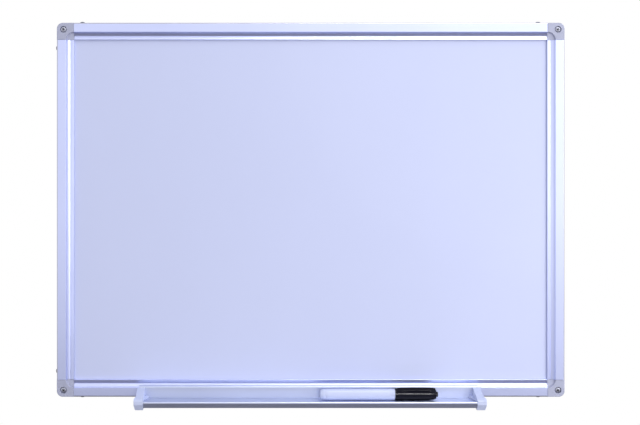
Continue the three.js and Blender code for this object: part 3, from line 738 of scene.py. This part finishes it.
def corner_cover(name, node, corner):
    """A corner cap in its corner's own frame: X and -Z run inward from the board's corner."""
    front = -FRAME_DEPTH
    x, z = corner["screw"]
    solid = cover_shell(name)
    fan = RAIL_WIDTH - FLAT_WIDTH
    fan_floor = front + SLOT_FRONT - FAN_SKIN
    dish = [(front - PAST, ON_AXIS), (front - PAST, fan + FLAT_EDGE)]
    dish += soften([
        (front, fan + FLAT_EDGE_RUN),
        (front, fan, FLAT_EDGE),
        (fan_floor - FAN_DIP, fan - FAN_WALL, FAN_CREASE),
        (fan_floor, ON_AXIS),
    ], closed=False)[1:]
    under = [(front + COVER_PLATE, ON_AXIS), (front + COVER_PLATE, fan + RAIL_WALL)]
    under += [(front + SLOT_FRONT, fan + RAIL_WALL), (front + SLOT_FRONT, ON_AXIS)]
    bore = CORNER_SCREW["head"] / 2 + COUNTERBORE_GAP
    seat = front + SCREW_SUNK + HEAD_HEIGHT + SEAT
    cup = [(front, bore + CUP_WALL), (seat + CUP_FLOOR, bore + CUP_WALL)]
    mouth = [(front - PAST, bore + CUP_EDGE)]
    mouth += arc((front + CUP_EDGE, bore + CUP_EDGE), (CUP_EDGE, CUP_EDGE), 180, 270, EDGE_STEPS)
    mouth += [(seat, bore)]
    hole = CORNER_SCREW["shank"] / 2 + FIT

    pocket_outline = corner_outline(RAIL_WALL, RAIL_WIDTH + PAST)
    pocket = prism("pocket", pocket_outline, along_y, front + COVER_PLATE, PAST)
    inner = (RAIL_WIDTH, -RAIL_WIDTH)
    combine(pocket, turned_back("under", under, ROUND_SIDES, *inner))
    combine(pocket, turned_back("cup", cup, ROUND_SIDES, x, z))
    combine(solid, pocket)
    combine(solid, turned_back("dish", dish, ROUND_SIDES, *inner))
    combine(solid, turned_back("counterbore", mouth, ROUND_SIDES, x, z))
    combine(solid, turned_back("hole", [(front, hole), (0, hole)], SCREW_SIDES, x, z))
    solid.matrix_world = corner["frame"]
    return dress(solid, GREY_PLASTIC, "grey_plastic", "board", node, smooth=40)


def screw(name, sizes):
    """A pan head screw with a cross recess, seat at Y 0 and head in front, and a coarse thread."""
    radius = sizes["head"] / 2
    shank = sizes["shank"] / 2
    root = shank - THREAD_DEPTH
    length = sizes["length"]
    dome_height = HEAD_HEIGHT * (1 - HEAD_RIM)
    dome = arc((-HEAD_HEIGHT * HEAD_RIM, 0), (dome_height, radius), 180, 90, DOME_STEPS)[1:]
    profile = dome + [(-HEAD_EDGE, radius), (0, radius - HEAD_EDGE), (0, shank), (THREAD_START, shank)]
    turns = int((length - shank - THREAD_START) / THREAD_PITCH)
    for i in range(turns):
        for shares, ridge in ((THREAD_VALLEY, root), (THREAD_CREST, shank)):
            profile += [(THREAD_START + (i + share) * THREAD_PITCH, ridge) for share in shares]
    profile += [(length - shank / 2, root), (length, root / 3)]
    solid = turned_back(name, profile, SCREW_SIDES, 0, 0)

    arm = RECESS["arm"] / 2
    reach = RECESS["width"] / 2
    quarter = [(reach, -arm), (reach, arm), (arm, arm)]
    cross = []
    for i in range(4):
        spin = Matrix.Rotation(math.pi / 2 * i, 2)
        cross += [spin @ Vector(point) for point in quarter]
    over, mouth_scale = RECESS_MOUTH
    rings = []
    for y, scale in ((-HEAD_HEIGHT - over, mouth_scale), (RECESS["depth"] - HEAD_HEIGHT, RECESS["taper"])):
        rings.append([Vector((p.x * scale, y, p.y * scale)) * MM for p in cross])
    combine(solid, loft("recess", rings))
    return solid


SIDES = {
    "top": {"turn": 0, "outward": (0, 0, HALF_HEIGHT)},
    "right": {"turn": 90, "outward": (HALF_WIDTH, 0, 0)},
    "bottom": {"turn": 180, "outward": (0, 0, -HALF_HEIGHT)},
    "left": {"turn": 270, "outward": (-HALF_WIDTH, 0, 0)},
}
CORNERS = {
    "top_left": {"turn": 0, "at": (-HALF_WIDTH, 0, HALF_HEIGHT)},
    "top_right": {"turn": 90, "at": (HALF_WIDTH, 0, HALF_HEIGHT)},
    "bottom_right": {"turn": 180, "at": (HALF_WIDTH, 0, -HALF_HEIGHT)},
    "bottom_left": {"turn": 270, "at": (-HALF_WIDTH, 0, -HALF_HEIGHT)},
}


def turn_about_y(degrees, place):
    return Matrix.Translation(place) @ Matrix.Rotation(math.radians(degrees), 4, "Y")


def middle(node):
    low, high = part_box(node)
    return (low + high) / 2


def build_frame():
    rail_screw = screw("rail_screw_master", RAIL_SCREW)
    corner_screw = screw("corner_screw_master", CORNER_SCREW)
    for side, facts in SIDES.items():
        facts["frame"] = turn_about_y(facts["turn"], facts["outward"])
        inverse = facts["frame"].inverted()
        facts["screws"] = [(inverse @ middle(f"rail_screw_{side}_{i}")).xy for i in (1, 2)]
        rail(f"rail_{side}", f"frame_rail_{side}", facts)
        for i, (x, y) in enumerate(facts["screws"], 1):
            solid = added(f"edge_screw_{side}_{i}", rail_screw.data.copy())
            # the side's degrees are taken as radians here, for crosses that all stand differently
            spin = RAIL_SCREW_TURN * i + facts["turn"]
            tilt = Matrix.Rotation(-math.pi / 2, 4, "X") @ Matrix.Rotation(spin, 4, "Y")
            place = Matrix.Translation((x, y, SEAT * MM))
            solid.matrix_world = facts["frame"] @ place @ tilt
            dress(solid, SCREW_STEEL, "screw_steel", "board", f"rail_screw_{side}_{i}")
    for index, (corner, facts) in enumerate(CORNERS.items()):
        facts["frame"] = turn_about_y(facts["turn"], facts["at"])
        local = facts["frame"].inverted() @ middle(f"corner_screw_{corner}")
        facts["screw"] = (local.x / MM, local.z / MM)
        corner_cover(f"corner_cover_{corner}", f"corner_cap_{corner}", facts)
        solid = added(f"wall_screw_{corner}", corner_screw.data.copy())
        seat = (SCREW_SUNK + HEAD_HEIGHT - FRAME_DEPTH) * MM
        place = Matrix.Translation((local.x, seat, local.z))
        first_turn, next_turn = CORNER_SCREW_TURNS
        solid.matrix_world = facts["frame"] @ place @ Matrix.Rotation(first_turn + next_turn * index, 4, "Y")
        dress(solid, BRIGHT_STEEL, "screw_steel", "board", f"corner_screw_{corner}")
        key = copy_of(f"corner_key_{corner}", f"corner_bracket_{corner}")
        bevel(key, KEY_EDGE, segments=2)
        dress(key, BRACKET_PLASTIC, "bracket_plastic", "board", f"corner_bracket_{corner}")
    for master in (rail_screw, corner_screw):
        bpy.data.objects.remove(master)


# Tray

EDGE = -HALF_HEIGHT / MM  # height of the board's lower edge
FLOOR_TOP = EDGE - FLOOR_DROP


def tray_path():
    """The middle of the tray's wall as (forward, height), hook first and nose last."""
    half = TRAY_WALL / 2
    floor = FLOOR_TOP - half
    plate = FIT + half
    ramp = math.radians(RAMP_SLOPE)
    bead_radius = BEAD_INSIDE + half
    ramp_run = (BEAD_LIFT + bead_radius * math.cos(ramp)) / math.tan(ramp)
    bead_centre = (FLOOR_REACH + ramp_run + bead_radius * math.sin(ramp), floor + BEAD_LIFT)
    bead = arc(bead_centre, (bead_radius, bead_radius), 90 + RAMP_SLOPE, NOSE_SLOPE - 90, BEAD_STEPS)
    slope = math.radians(NOSE_SLOPE)
    toe = (bead[-1][0] - NOSE_LENGTH * math.cos(slope), bead[-1][1] - NOSE_LENGTH * math.sin(slope))
    return soften([
        (-HOOK_DEPTH, EDGE + cove_inward(HOOK_DEPTH, FIT + half)),
        (plate, EDGE + FLAT_WIDTH + FIT + half, HOOK_BEND),
        (plate, floor, PLATE_BEND),
        (FLOOR_REACH, floor, TRAY_BEND),
        *bead,
        (*toe, TRAY_BEND),
        (toe[0] - NOSE_RETURN, toe[1]),
    ], closed=False)


def tray_space(along, forward, height):
    return (along, -FRAME_DEPTH - forward, height)


def tray_section(name, start, end, grow=0.0):
    thickness = TRAY_WALL + 2 * grow
    flange_height = EDGE - FIT - TRAY_WALL / 2
    flange = [(FIT + TRAY_WALL / 2, flange_height), (-RETURN_REACH + TRAY_WALL / 2, flange_height)]
    solid = prism(name, strip(tray_path(), thickness), tray_space, start, end)
    return combine(solid, prism("flange", strip(flange, thickness), tray_space, start, end), "UNION")


def corner_web(place, planned):
    """The small moulded web that stands in the tray's inside corner at an end cap."""
    back = FIT + TRAY_WALL
    front = back + WEB_LENGTH
    wedge = [
        (back, FLOOR_TOP - FIT),
        (back, FLOOR_TOP + WEB_HEIGHT),
        (front, FLOOR_TOP + WEB_EDGE),
        (front, FLOOR_TOP - FIT),
    ]
    web = prism("web", wedge, tray_space, place(-WEB_REACH), place(LEG_WIDTH / 2))
    plan = planned([
        (LEG_WIDTH, back - PAST),
        (-WEB_REACH, back - PAST),
        (-WEB_REACH, back),
        (-WEB_TIP, front),
        (LEG_WIDTH, front),
    ])
    combine(web, prism("plan", plan, along_z, FLOOR_TOP - PAST, EDGE + RAIL_WIDTH), "INTERSECT")
    return bevel(web, WEB_ROUNDING)


def end_cap(name, node, side, inner):
    """An end cap that takes the tray's section in its socket.

    Side is 1 for right and -1 for left, and its widths run outward from inner.
    """

    def place(width):
        return inner + side * width

    def planned(outline):
        return [(place(width), -FRAME_DEPTH - forward) for width, forward in outline]

    face = max(forward for forward, height in strip(tray_path(), TRAY_WALL)) + FACE_MARGIN
    toe = FLOOR_TOP - TOE_FALL
    heel = EDGE - HEEL_FALL
    flange_back = -RETURN_REACH - FIT - FLANGE_SKIN
    profile = soften([
        (FIT, EDGE - FIT),
        (FIT, EDGE + FLAT_WIDTH + LEG_TOP_GAP, 0.4),
        (LEG_CREST, EDGE + FLAT_WIDTH + LEG_TOP_GAP, 0.8),
        (face - CREST_SETBACK, FLOOR_TOP + CREST_RISE, 1.4),
        (face, FLOOR_TOP + FACE_RISE, 0.9),
        (face, FLOOR_TOP - FACE_FALL, 0.7),
        (face - TOE_SETBACK, toe, 0.9),
        (face - TOE_SETBACK - TOE_LENGTH, toe, 1.2),
        (LEG_CREST, heel, 1.2),
        (flange_back, heel, 0.6),
        (flange_back, EDGE - FIT, 0.25),
    ])
    plan = [
        (0, flange_back - PAST),
        (LEG_WIDTH, flange_back - PAST),
        (LEG_WIDTH, FLARE_START, 12),
        (BLOCK_WIDTH, FLARE_END, 10),
        (BLOCK_WIDTH, face, 1.2),
        (BLOCK_WIDTH - CORNER_EASE[0], face + CORNER_EASE[1]),
        (0, face + CORNER_EASE[1]),
    ]
    body = prism(name, profile, tray_space, inner, place(BLOCK_WIDTH + PAST))
    start = FLOOR_TOP - FACE_FALL
    draft = soften([
        (-PAST, EDGE + RAIL_WIDTH),
        (BLOCK_WIDTH + 2 * PAST, EDGE + RAIL_WIDTH),
        (BLOCK_WIDTH + 2 * PAST, start + DRAFT_LEAD),
        (BLOCK_WIDTH, start + DRAFT_LEAD),
        (BLOCK_WIDTH, start, 5),
        (BLOCK_WIDTH - TOE_DRAFT, toe - DRAFT_PAST),
        (-PAST, toe - DRAFT_PAST),
    ])
    combine(body, prism("plan", planned(soften(plan)), along_z, toe - PAST, EDGE + RAIL_WIDTH), "INTERSECT")
    leaning = [(place(width), height) for width, height in draft]
    combine(body, prism("draft", leaning, along_y, -FRAME_DEPTH - face - PAST, PAST), "INTERSECT")
    bevel(body, END_CAP_EDGE)
    combine(body, corner_web(place, planned), "UNION")
    mouth = place(-WEB_REACH - PAST)
    combine(body, tray_section("socket", mouth, place(SOCKET_DEPTH + FIT), grow=FIT * SOCKET_FIT))
    return dress(body, PALE_PLASTIC, "grey_plastic", "tray", node)


def build_tray():
    low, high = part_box("tray_rail")
    tray = tray_section("tray_extrusion", low.x / MM, high.x / MM)
    centre = (FIT + TRAY_WALL, FLOOR_TOP + GROOVE / 2)
    groove = arc(centre, (GROOVE, GROOVE), 0, 360, GROOVE_SIDES)[:-1]
    combine(tray, prism("groove", groove, tray_space, low.x / MM - PAST, high.x / MM + PAST))
    bevel(tray, SAWN_EDGE, segments=2, angle=60)
    dress(tray, TRAY_METAL, "tray_aluminium", "tray", "tray_rail")
    end_cap("tray_cap_left", "tray_end_left", -1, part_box("tray_end_left")[0].x / MM + BLOCK_WIDTH)
    end_cap("tray_cap_right", "tray_end_right", 1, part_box("tray_end_right")[1].x / MM - BLOCK_WIDTH)


# Marker

COLLAR_START = PLUG_LENGTH + BARREL_LENGTH + 2 * SEAT
CAP_START = COLLAR_START + COLLAR_LENGTH + FIT
NECK_END = COLLAR_START + COLLAR_LENGTH + NECK_LENGTH
TUBE_START = NECK_END + SHOULDER_LENGTH
TUBE_END = TUBE_START + TIP_TUBE_LENGTH
NIB_TIP = TUBE_END + NIB_SHOWN
SPIGOT_START = COLLAR_START - HOLDER_SPIGOT
CAP_OUTER = NECK_RADIUS + FIT + CAP_WALL
CAP_END = CAP_START + CAP_LENGTH


def marker_plug():
    return turned("pen_plug", soften([
        (0, ON_AXIS),
        (0, PLUG_END_RADIUS, 0.7),
        (PLUG_LENGTH * PLUG_SWELL[0], BARREL_RADIUS - PLUG_SWELL[1], 8),
        (PLUG_LENGTH, BARREL_RADIUS, 0.12),
        (PLUG_LENGTH, BARREL_BORE - FIT),
        (PLUG_LENGTH + PLUG_SPIGOT, BARREL_BORE - FIT, 0.5),
        (PLUG_LENGTH + PLUG_SPIGOT, ON_AXIS),
    ], closed=False), MARKER_SIDES)


def marker_barrel():
    start = PLUG_LENGTH + SEAT
    end = COLLAR_START - SEAT
    return turned("pen_barrel", soften([
        (start, BARREL_BORE, 0.2),
        (start, BARREL_RADIUS, 0.18),
        (end, BARREL_RADIUS, 0.18),
        (end, BARREL_BORE, 0.2),
    ]), MARKER_SIDES, cyclic=True)


def marker_holder():
    """The white nib holder: spigot in the barrel, collar, ringed neck, shoulder and tip tube."""
    bore = NIB_RADIUS + FIT / 2
    neck_start = COLLAR_START + COLLAR_LENGTH
    ring = NECK_RADIUS + NECK_BEAD
    bead = neck_start + NECK_LENGTH * NECK_BEAD_PLACE
    return turned("pen_holder", soften([
        (SPIGOT_START, bore),
        (SPIGOT_START, BARREL_BORE - FIT, 0.4),
        (COLLAR_START, BARREL_BORE - FIT),
        (COLLAR_START, BARREL_RADIUS, 0.15),
        (neck_start, BARREL_RADIUS, 0.25),
        (neck_start, NECK_RADIUS, 0.2),
        (bead - NECK_BEAD_HALF, NECK_RADIUS, 0.3),
        (bead, ring, 0.4),
        (bead + NECK_BEAD_HALF, NECK_RADIUS, 0.3),
        (NECK_END, NECK_RADIUS, 1.5),
        (TUBE_START, TIP_TUBE_RADIUS, 1.5),
        (TUBE_END, TIP_TUBE_RADIUS - TIP_TAPER, 0.3),
        (TUBE_END, bore, 0.1),
    ]), MARKER_SIDES, cyclic=True)


def marker_nib():
    """A bullet nib, whose tip is worn flat a little."""
    bullet = NIB_RADIUS * NIB_BULLET
    tip = arc((NIB_TIP - bullet, 0), (bullet, NIB_RADIUS), 90, NIB_WORN, steps=14)
    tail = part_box("marker_nib")[0].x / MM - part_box("marker_plug")[0].x / MM
    return turned("pen_nib", [(tail, NIB_RADIUS)] + tip, NIB_SIDES)


def cap_clip():
    """The bowed clip, drawn along the cap and away from its axis, with round edges."""
    root_end = CAP_END - NUB_LENGTH - CLIP["end"]
    free_end = CAP_START + CLIP["free"]
    under = CAP_OUTER + CLIP["gap"]
    centre = (root_end + free_end) / 2
    half = (root_end - free_end) / 2
    steps = CLIP["steps"]
    top = []
    bottom = []
    for i in range(steps + 1):
        along = free_end + (root_end - free_end) * i / steps
        bow = CLIP["bow"] * (1 - ((along - centre) / half) ** 2)
        sink = CLIP["thickness"] * max(0, (i - steps + CLIP["sink"]) / CLIP["sink"]) ** 2
        top.append((along, under + bow + CLIP["thickness"] - sink))
        if along <= root_end - CLIP["root"]:
            bottom.append((along, under + bow))
    outline = top + [(root_end, CLIP["foot"]), (bottom[-1][0], CLIP["foot"])] + bottom[::-1]
    half_width = CLIP["width"] / 2
    clip = prism("clip", outline, along_y, -half_width, half_width)
    bevel(clip, CLIP["edge"])
    clip.data.transform(Matrix.Rotation(math.radians(CLIP["turn"]), 4, "X"))
    return clip


def marker_cap():
    shoulder = CAP_END - NUB_LENGTH - CAP_SHOULDER
    end = shoulder + CAP_SHOULDER
    solid = turned("pen_cap", soften([
        (CAP_START, ON_AXIS),
        (CAP_START, CAP_OUTER, 0.3),
        (shoulder, CAP_OUTER, 14),
        (shoulder + CAP_SHOULDER / 2, CAP_OUTER - CAP_SHOULDER_FALL, 8),
        (end, CAP_END_RADIUS, 0.8),
        (end, NUB_RADIUS, 0.25),
        (CAP_END, NUB_RADIUS, 0.5),
        (CAP_END, ON_AXIS),
    ], closed=False, steps=8), MARKER_SIDES)
    combine(solid, cap_clip(), "UNION")
    step = TUBE_START + FIT
    bore = soften([
        (CAP_START - PAST, ON_AXIS),
        (CAP_START - PAST, NECK_RADIUS + FIT),
        (step, NECK_RADIUS + FIT, 0.4),
        (step, CAP_BORE_RADIUS, 0.3),
        (NIB_TIP + CAP_BORE_REACH, CAP_BORE_RADIUS, 1.2),
        (NIB_TIP + CAP_BORE_REACH, ON_AXIS),
    ], closed=False)
    return combine(solid, turned("bore", bore, MARKER_SIDES))


def build_marker():
    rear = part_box("marker_plug")[0].x
    axis = middle("marker_barrel")
    place = Matrix.Translation((rear, axis.y, axis.z))
    pieces = (
        (marker_plug(), MARKER_WHITE, "marker_white", "marker", "marker_plug"),
        (marker_barrel(), MARKER_WHITE, "marker_white", "marker", "marker_barrel"),
        (marker_holder(), MARKER_WHITE, "marker_white", "marker", "marker_holder"),
        (marker_nib(), INK_FELT, "ink_fibre", "marker", "marker_nib"),
        (marker_cap(), MARKER_BLACK, "marker_black", "cap", "marker_cap"),
    )
    for solid, *facts in pieces:
        solid.matrix_world = place
        dress(solid, *facts)


# The panel's sheets and the marker's reservoir keep their CAD solids


def paint_nodes():
    looks = {
        "writing_sheet": ENAMEL,
        "core_board": FIBREBOARD,
        "backing_sheet": ZINC,
        "marker_reservoir": INK_FELT,
    }
    for node, material in looks.items():
        solid = NODES[node]
        solid.data.materials.clear()
        solid.data.materials.append(material)


# Studio: from here on places and sizes are in metres, and powers in watts

PHOTO_WIDTH = 640  # in pixels, as are the four that follow
PHOTO_HEIGHT = 425
FOCAL_PIXELS = 1270
FOOT_COLUMN = 243  # where the line of sight square to the board meets it, in the photograph
FOOT_ROW = 170
CAMERA_DISTANCE = 1.5  # from the board's front plane
CAMERA_PLACE = (-0.080, FRONT - CAMERA_DISTANCE, 0.047)
SENSOR = 36  # millimetres
FLOOR_HEIGHT = -0.45
FLOOR_THICKNESS = 0.01
FLOOR_REACHES = (-2.2, 2.2, -1.9, 0.9)  # left, right, near and far edges
FLOOR_PAINT = linear(146, 143, 148)
FLOOR_HAZE = 0.55  # how much of its shade is left out where the camera looks
FLOOR_FADE = (0.4, 0.95)  # where its colour goes over to white, as shares of its reach
PLAIN_LIGHT = 0.63  # the white world's strength as light
LAMPS = {  # place, what it points at, width and power
    "key": ((1.62, -1.6, 0.33), (0.05, 0, 0), 1.3, 9.6),
    "upper": ((0.75, -0.95, 1.25), (0.05, 0, 0), 1.2, 5.5),
    "overhead": ((0.35, -0.55, 1.3), (0.1, 0, -0.2), 0.8, 6.2),
    "front": ((0.8, -2.2, 0.5), (0.1, 0, 0), 1.6, 3),
    "fill": ((-1.5, -1.5, -0.3), (0, 0, -0.1), 1.6, 2.5),
    "low": ((0.65, -1.0, -0.34), (0.15, 0, -0.18), 0.7, 3.8),
}
CAP_LINE = {"place": (0.3, -1.3, 0.15), "width": 0.9, "height": 0.06, "power": 44}


def build_camera():
    data = bpy.data.cameras.new("camera")
    data.sensor_width = SENSOR
    data.lens = FOCAL_PIXELS / PHOTO_WIDTH * SENSOR
    data.shift_x = (PHOTO_WIDTH / 2 - FOOT_COLUMN) / PHOTO_WIDTH
    data.shift_y = (FOOT_ROW - PHOTO_HEIGHT / 2) / PHOTO_WIDTH
    camera = added("camera", data)
    camera.location = CAMERA_PLACE
    camera.rotation_euler = (math.pi / 2, 0, 0)
    bpy.context.scene.camera = camera


def area_lamp(name, place, target, size, power):
    data = bpy.data.lights.new(name, "AREA")
    data.shape = "DISK"
    data.size = size
    data.energy = power
    lamp = added(name, data)
    lamp.location = place
    direction = Vector(target) - Vector(place)
    lamp.rotation_euler = direction.to_track_quat("-Z", "Y").to_euler()
    return lamp


def build_cap_line():
    """A narrow lamp that lights the marker's cap alone, for the bright line along it."""
    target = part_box("marker_cap")[1]
    line = area_lamp("cap_line", CAP_LINE["place"], target, CAP_LINE["width"], CAP_LINE["power"])
    line.data.shape = "RECTANGLE"
    line.data.size_y = CAP_LINE["height"]
    only_cap = bpy.data.collections.new("lit_by_cap_line")
    only_cap.objects.link(bpy.data.objects["pen_cap"])
    line.light_linking.receiver_collection = only_cap


def mixed(nodes, links, factor, one, other):
    mix = nodes.new("ShaderNodeMixShader")
    links.new(factor, mix.inputs["Fac"])
    links.new(one, mix.inputs[1])
    links.new(other, mix.inputs[2])
    return mix.outputs["Shader"]


def calculated(nodes, links, operation, one, other):
    node = nodes.new("ShaderNodeMath")
    node.operation = operation
    for socket, value in zip(node.inputs, (one, other)):
        if isinstance(value, (int, float)):
            socket.default_value = value
        else:
            links.new(value, socket)
    return node.outputs["Value"]


def rays_seen(nodes, links):
    """1 where the camera looks, and 1 where it looks straight, in a gloss or through a glass."""
    path = nodes.new("ShaderNodeLightPath")
    camera = path.outputs["Is Camera Ray"]
    seen = calculated(nodes, links, "MAXIMUM", camera, path.outputs["Is Glossy Ray"])
    return camera, calculated(nodes, links, "MAXIMUM", seen, path.outputs["Is Transmission Ray"])


def build_world():
    """White where the camera, a gloss or a glass looks, and a plain level as light."""
    world = bpy.data.worlds.new("studio")
    bpy.context.scene.world = world
    world.use_nodes = True
    nodes = world.node_tree.nodes
    links = world.node_tree.links
    nodes.clear()
    shades = []
    for strength in (PLAIN_LIGHT, 1):
        background = nodes.new("ShaderNodeBackground")
        background.inputs["Color"].default_value = (1, 1, 1, 1)
        background.inputs["Strength"].default_value = strength
        shades.append(background.outputs["Background"])
    output = nodes.new("ShaderNodeOutputWorld")
    links.new(mixed(nodes, links, rays_seen(nodes, links)[1], *shades), output.inputs["Surface"])


def build_floor():
    """A pale floor well below the board, out of the photograph's view, that fades out at its rim."""
    left, right, near, far = FLOOR_REACHES
    outline = [(x / MM, y / MM) for x, y in ((left, near), (right, near), (right, far), (left, far))]
    bottom = FLOOR_HEIGHT - FLOOR_THICKNESS
    floor = prism("floor", outline, along_z, bottom / MM, FLOOR_HEIGHT / MM)
    surface = Surface("floor_paint", FLOOR_PAINT, 0.8)
    surface.bump(surface.noise(30, detail=3), depth=0.2)
    nodes, links = surface.nodes, surface.links
    white = nodes.new("ShaderNodeEmission")
    middle_y = (near + far) / 2
    half_depth = (far - near) / 2
    from_middle = surface.distance((1 / right, 1 / half_depth, 0), (0, -middle_y / half_depth, 0))
    rim = surface.spread(from_middle, 0, 1, *FLOOR_FADE)
    output = nodes["Material Output"]
    camera_sees, any_sees = rays_seen(nodes, links)
    faded = calculated(nodes, links, "MULTIPLY", rim, any_sees)
    haze = calculated(nodes, links, "MULTIPLY", camera_sees, FLOOR_HAZE)
    factor = calculated(nodes, links, "MAXIMUM", faded, haze)
    shade_of_floor = mixed(nodes, links, factor, surface.shader.outputs["BSDF"], white.outputs["Emission"])
    links.new(shade_of_floor, output.inputs["Surface"])
    floor.data.materials.append(surface.material)


def build_studio():
    build_camera()
    build_world()
    build_floor()
    lamps = {name: area_lamp(name, *facts) for name, facts in LAMPS.items()}
    lamps["overhead"].visible_diffuse = False
    lamps["low"].visible_glossy = False
    build_cap_line()
    bpy.context.scene.view_settings.view_transform = "Standard"


build_frame()
build_tray()
build_marker()
paint_nodes()
build_studio()
